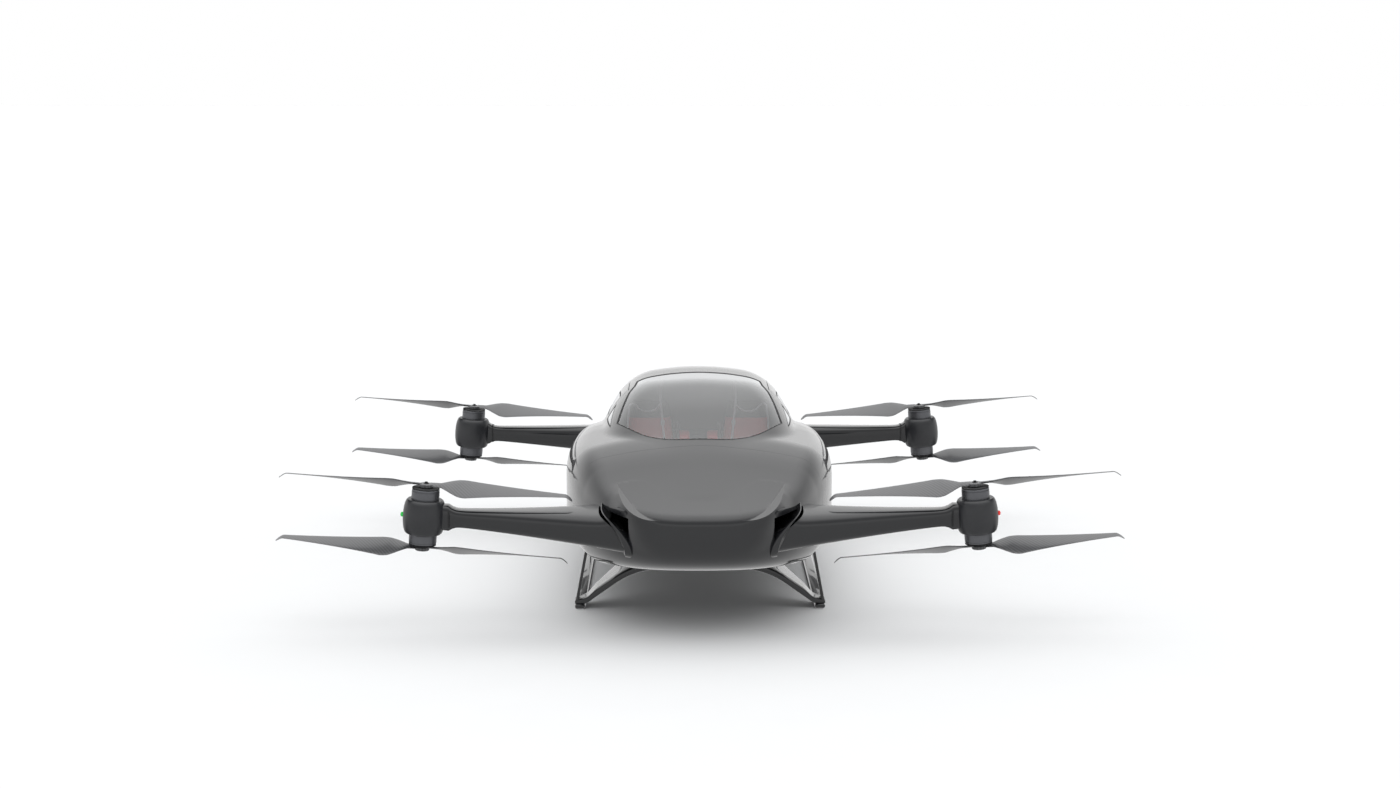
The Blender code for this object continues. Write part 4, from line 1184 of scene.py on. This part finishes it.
def makeSeats():
    cushionLow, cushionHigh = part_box("seat_cushion_left")
    size = cushionHigh - cushionLow
    cushion = padFrom("cushion", size, 1.0)
    channels(cushion, seat["cushionChannels"], 0, 2, seat["channel"])
    applyModifier(cushion, "SUBSURF", levels=1, render_levels=1)
    backLow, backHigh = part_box("seat_back_left")
    length = (backHigh.z - backLow.z - size.z * math.sin(seat["backAngle"])) / math.cos(seat["backAngle"])
    thick = seat["backThickness"]
    back = padFrom("back", (size.x, thick, length), seat["topShare"])
    channels(back, seat["backChannels"], 0, 1, seat["channel"])
    applyModifier(back, "SUBSURF", levels=1, render_levels=1)
    back.data.transform(Matrix.Translation((0, thick / 2, length / 2)))
    lean = Matrix.Rotation(-seat["backAngle"], 4, "X")
    for side, word in ((1, "left"), (-1, "right")):
        low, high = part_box("seat_cushion_" + word)
        pad = copyPiece(cushion, "seat_cushion_pad_" + word, Matrix.Translation((low + high) / 2))
        finishPiece(pad, "root", redLeather, ["seat_cushion_" + word], 60)
        low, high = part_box("seat_back_" + word)
        foot = low.z + thick * math.sin(seat["backAngle"])
        spot = Matrix.Translation(((low.x + high.x) / 2, low.y, foot)) @ lean
        pad = copyPiece(back, "seat_back_pad_" + word, spot)
        finishPiece(pad, "root", seatLeather, ["seat_back_" + word], 60)
        bead = [Vector((-side * x, seat["beadFront"], length * share)) for x, share in seat["beadLine"]]
        line = tube("seat_piping_" + word, [tuple(spot @ point) for point in bead], seat["bead"])
        finishPiece(line, "root", piping, (), 60)
        route = [(side * (seat["x"] - belt["reelX"]), y, z) for y, z in belt["reel"]]
        webbing = [Vector((-side * x, belt["front"], length * share)) for x, share in belt["route"]]
        strap = tube("seat_belt_" + word, route + [tuple(spot @ point) for point in webbing], belt["radius"])
        (front, bottom), (rear, top) = belt["tongue"]
        half = belt["tongueHalf"]
        tongue = block("tongue", (-half, front, length * bottom), (half, rear, length * top), 0.003)
        tongue.data.transform(spot @ Matrix.Translation((-side * belt["tongueX"], 0, 0)))
        strap = joined("seat_belt_" + word, [strap, tongue])
        finishPiece(strap, "root", piping, (), 60)
    discard(cushion, back)
    print("seats padded")


armRest = {"x": 0.115, "half": (0.052, 0.13, 0.028), "y": 0.30, "z": 0.925, "edge": 0.020}
post = {"half": 0.025, "front": 0.24, "rear": 0.33, "foot": 0.47, "lap": 0.004}
stick = {
    "x": 0.150, "y": 0.10, "foot": 0.69, "top": 1.00, "lean": 0.03, "rake": 0.02,
    "radius": 0.009, "sunk": 0.012,
    "grip": (
        (0.0, -0.05), (0.013, -0.05), (0.017, -0.03), (0.014, 0.0),
        (0.018, 0.03), (0.021, 0.052), (0.016, 0.066), (0.0, 0.07),
    ),
    "boot": (
        (0.0, 0.0), (0.045, 0.0), (0.045, 0.006), (0.036, 0.012), (0.038, 0.02),
        (0.028, 0.028), (0.030, 0.036), (0.018, 0.046), (0.0, 0.046),
    ),
}
display = {"bezel": 0.012, "sunk": 0.002, "proud": 0.0015}


def makeArmRest(side, word):
    centre = (side * armRest["x"], armRest["y"], armRest["z"])
    low = [c - h for c, h in zip(centre, armRest["half"])]
    high = [c + h for c, h in zip(centre, armRest["half"])]
    made = block("arm_rest_" + word, low, high, armRest["edge"], 5)
    finishPiece(made, "root", redLeather, (), 60)
    made = block(
        "arm_rest_post_" + word, (centre[0] - post["half"], post["front"], post["foot"]),
        (centre[0] + post["half"], post["rear"], low[2] + post["lap"]), 0.008,
    )
    finishPiece(made, "root", trim)


def makeStick(side, word):
    foot = Vector((side * (stick["x"] - stick["lean"]), stick["y"] - stick["rake"], stick["foot"]))
    top = Vector((side * stick["x"], stick["y"], stick["top"]))
    shaft = tube("stick_shaft_" + word, [foot, foot.lerp(top, 0.5), top], stick["radius"])
    finishPiece(shaft, "root", metal, (), 60)
    grip = turned("stick_grip_" + word, stick["grip"], 32, Matrix.Translation(top))
    finishPiece(grip, "root", sealRubber, (), 60)
    low = Matrix.Translation(foot - Vector((0, 0, stick["sunk"])))
    boot = turned("stick_boot_" + word, stick["boot"], 40, low)
    finishPiece(boot, "root", sealRubber, (), 60)


def makeCabin():
    for side, word in ((1, "left"), (-1, "right")):
        makeArmRest(side, word)
        makeStick(side, word)
    low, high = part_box("display")
    case = block("display_case", low, high, 0.006, 3)
    finishPiece(case, "root", trim, ["display"], 40)
    bezel = display["bezel"]
    face = block(
        "display_face", (low.x + bezel, high.y - display["sunk"], low.z + bezel),
        (high.x - bezel, high.y + display["proud"], high.z - bezel), 0.001, 2,
    )
    finishPiece(face, "root", displayFace, (), 40)
    print("cabin fitted")


keptFinishes = {
    "cabin_floor": floorCarpet, "rear_bulkhead": lining,
    "battery_pack": caseMetal, "door_hinge_left": metal, "door_hinge_right": metal,
    "dashboard": shelf, "centre_console": trim, "seat_plinth_left": trim, "seat_plinth_right": trim,
}


def dressKeptNodes():
    for name, finish in keptFinishes.items():
        nodes[name].data.materials.clear()
        nodes[name].data.materials.append(finish)


stageSizes = {"floor": 420.0, "camera": (-0.135, -13.87, 3.52), "tilt": 80.85, "turn": -0.597, "lens": 51.1}
sky = {
    "below": 0.75, "low": 1.0, "high": 2.25, "front": 0.60, "from": 0.38,
    "bandLow": 0.02, "bandHigh": 0.20, "ahead": -0.5, "behind": 0.6, "groundLow": -0.20, "groundHigh": -0.03,
}


def makeStage():
    deselectAll()
    bpy.ops.mesh.primitive_plane_add(size=stageSizes["floor"])
    floor = named("studio_floor")
    made, tree, shader, place = newMaterial("pale_studio_floor", Roughness=0.75)
    shader.inputs["Specular IOR Level"].default_value = 0.3
    tree.links.new(between(tree, speckle(tree, place, 0.4), "D3D4D5", "D5D6D7"), shader.inputs["Base Color"])
    floor.data.materials.append(made)
    floor.visible_glossy = False  # as a shadow catcher: the paint mirrors the studio, not the floor

    world = bpy.data.worlds.new("studio_dome")
    bpy.context.scene.world = world
    world.use_nodes = True
    tree = world.node_tree
    aim = addNode(tree, "ShaderNodeTexCoord").outputs["Generated"]
    toward = addNode(tree, "ShaderNodeSeparateXYZ", {0: aim})
    up = toward.outputs["Z"]
    sockets = ("Value", "From Min", "From Max", "To Min", "To Max")
    inputs = dict(zip(sockets, (toward.outputs["Y"], sky["ahead"], sky["behind"], sky["front"], sky["low"])))
    front = addNode(tree, "ShaderNodeMapRange", inputs, interpolation_type="SMOOTHSTEP").outputs["Result"]
    inputs = dict(zip(sockets, (up, sky["bandLow"], sky["bandHigh"], sky["low"], front)))
    horizon = addNode(tree, "ShaderNodeMapRange", inputs, interpolation_type="SMOOTHSTEP").outputs["Result"]
    inputs = dict(zip(sockets, (up, sky["from"], 1.0, horizon, sky["high"])))
    dome = addNode(tree, "ShaderNodeMapRange", inputs, interpolation_type="SMOOTHSTEP").outputs["Result"]
    inputs = dict(zip(sockets, (up, sky["groundLow"], sky["groundHigh"], sky["below"] / sky["low"], 1.0)))
    under = addNode(tree, "ShaderNodeMapRange", inputs, interpolation_type="SMOOTHSTEP").outputs["Result"]
    glow = addNode(tree, "ShaderNodeMath", {0: dome, 1: under}, operation="MULTIPLY").outputs[0]
    background = tree.nodes["Background"]
    background.inputs["Color"].default_value = (1.0, 1.0, 1.0, 1.0)
    tree.links.new(glow, background.inputs["Strength"])

    camera = bpy.data.cameras.new("camera")
    camera.lens = stageSizes["lens"]
    camera.sensor_width = 36.0
    camera.clip_end = 500.0
    holder = bpy.data.objects.new("camera", camera)
    bpy.context.scene.collection.objects.link(holder)
    holder.location = stageSizes["camera"]
    holder.rotation_euler = (math.radians(stageSizes["tilt"]), 0.0, math.radians(stageSizes["turn"]))
    bpy.context.scene.camera = holder
    bpy.context.scene.view_settings.view_transform = "Standard"
    print("stage set")


makeBody()
makeGlass()
makeDoorSeals()
makeArms()
makeRotors()
makeSkids()
makeSeats()
makeCabin()
dressKeptNodes()
makeStage()
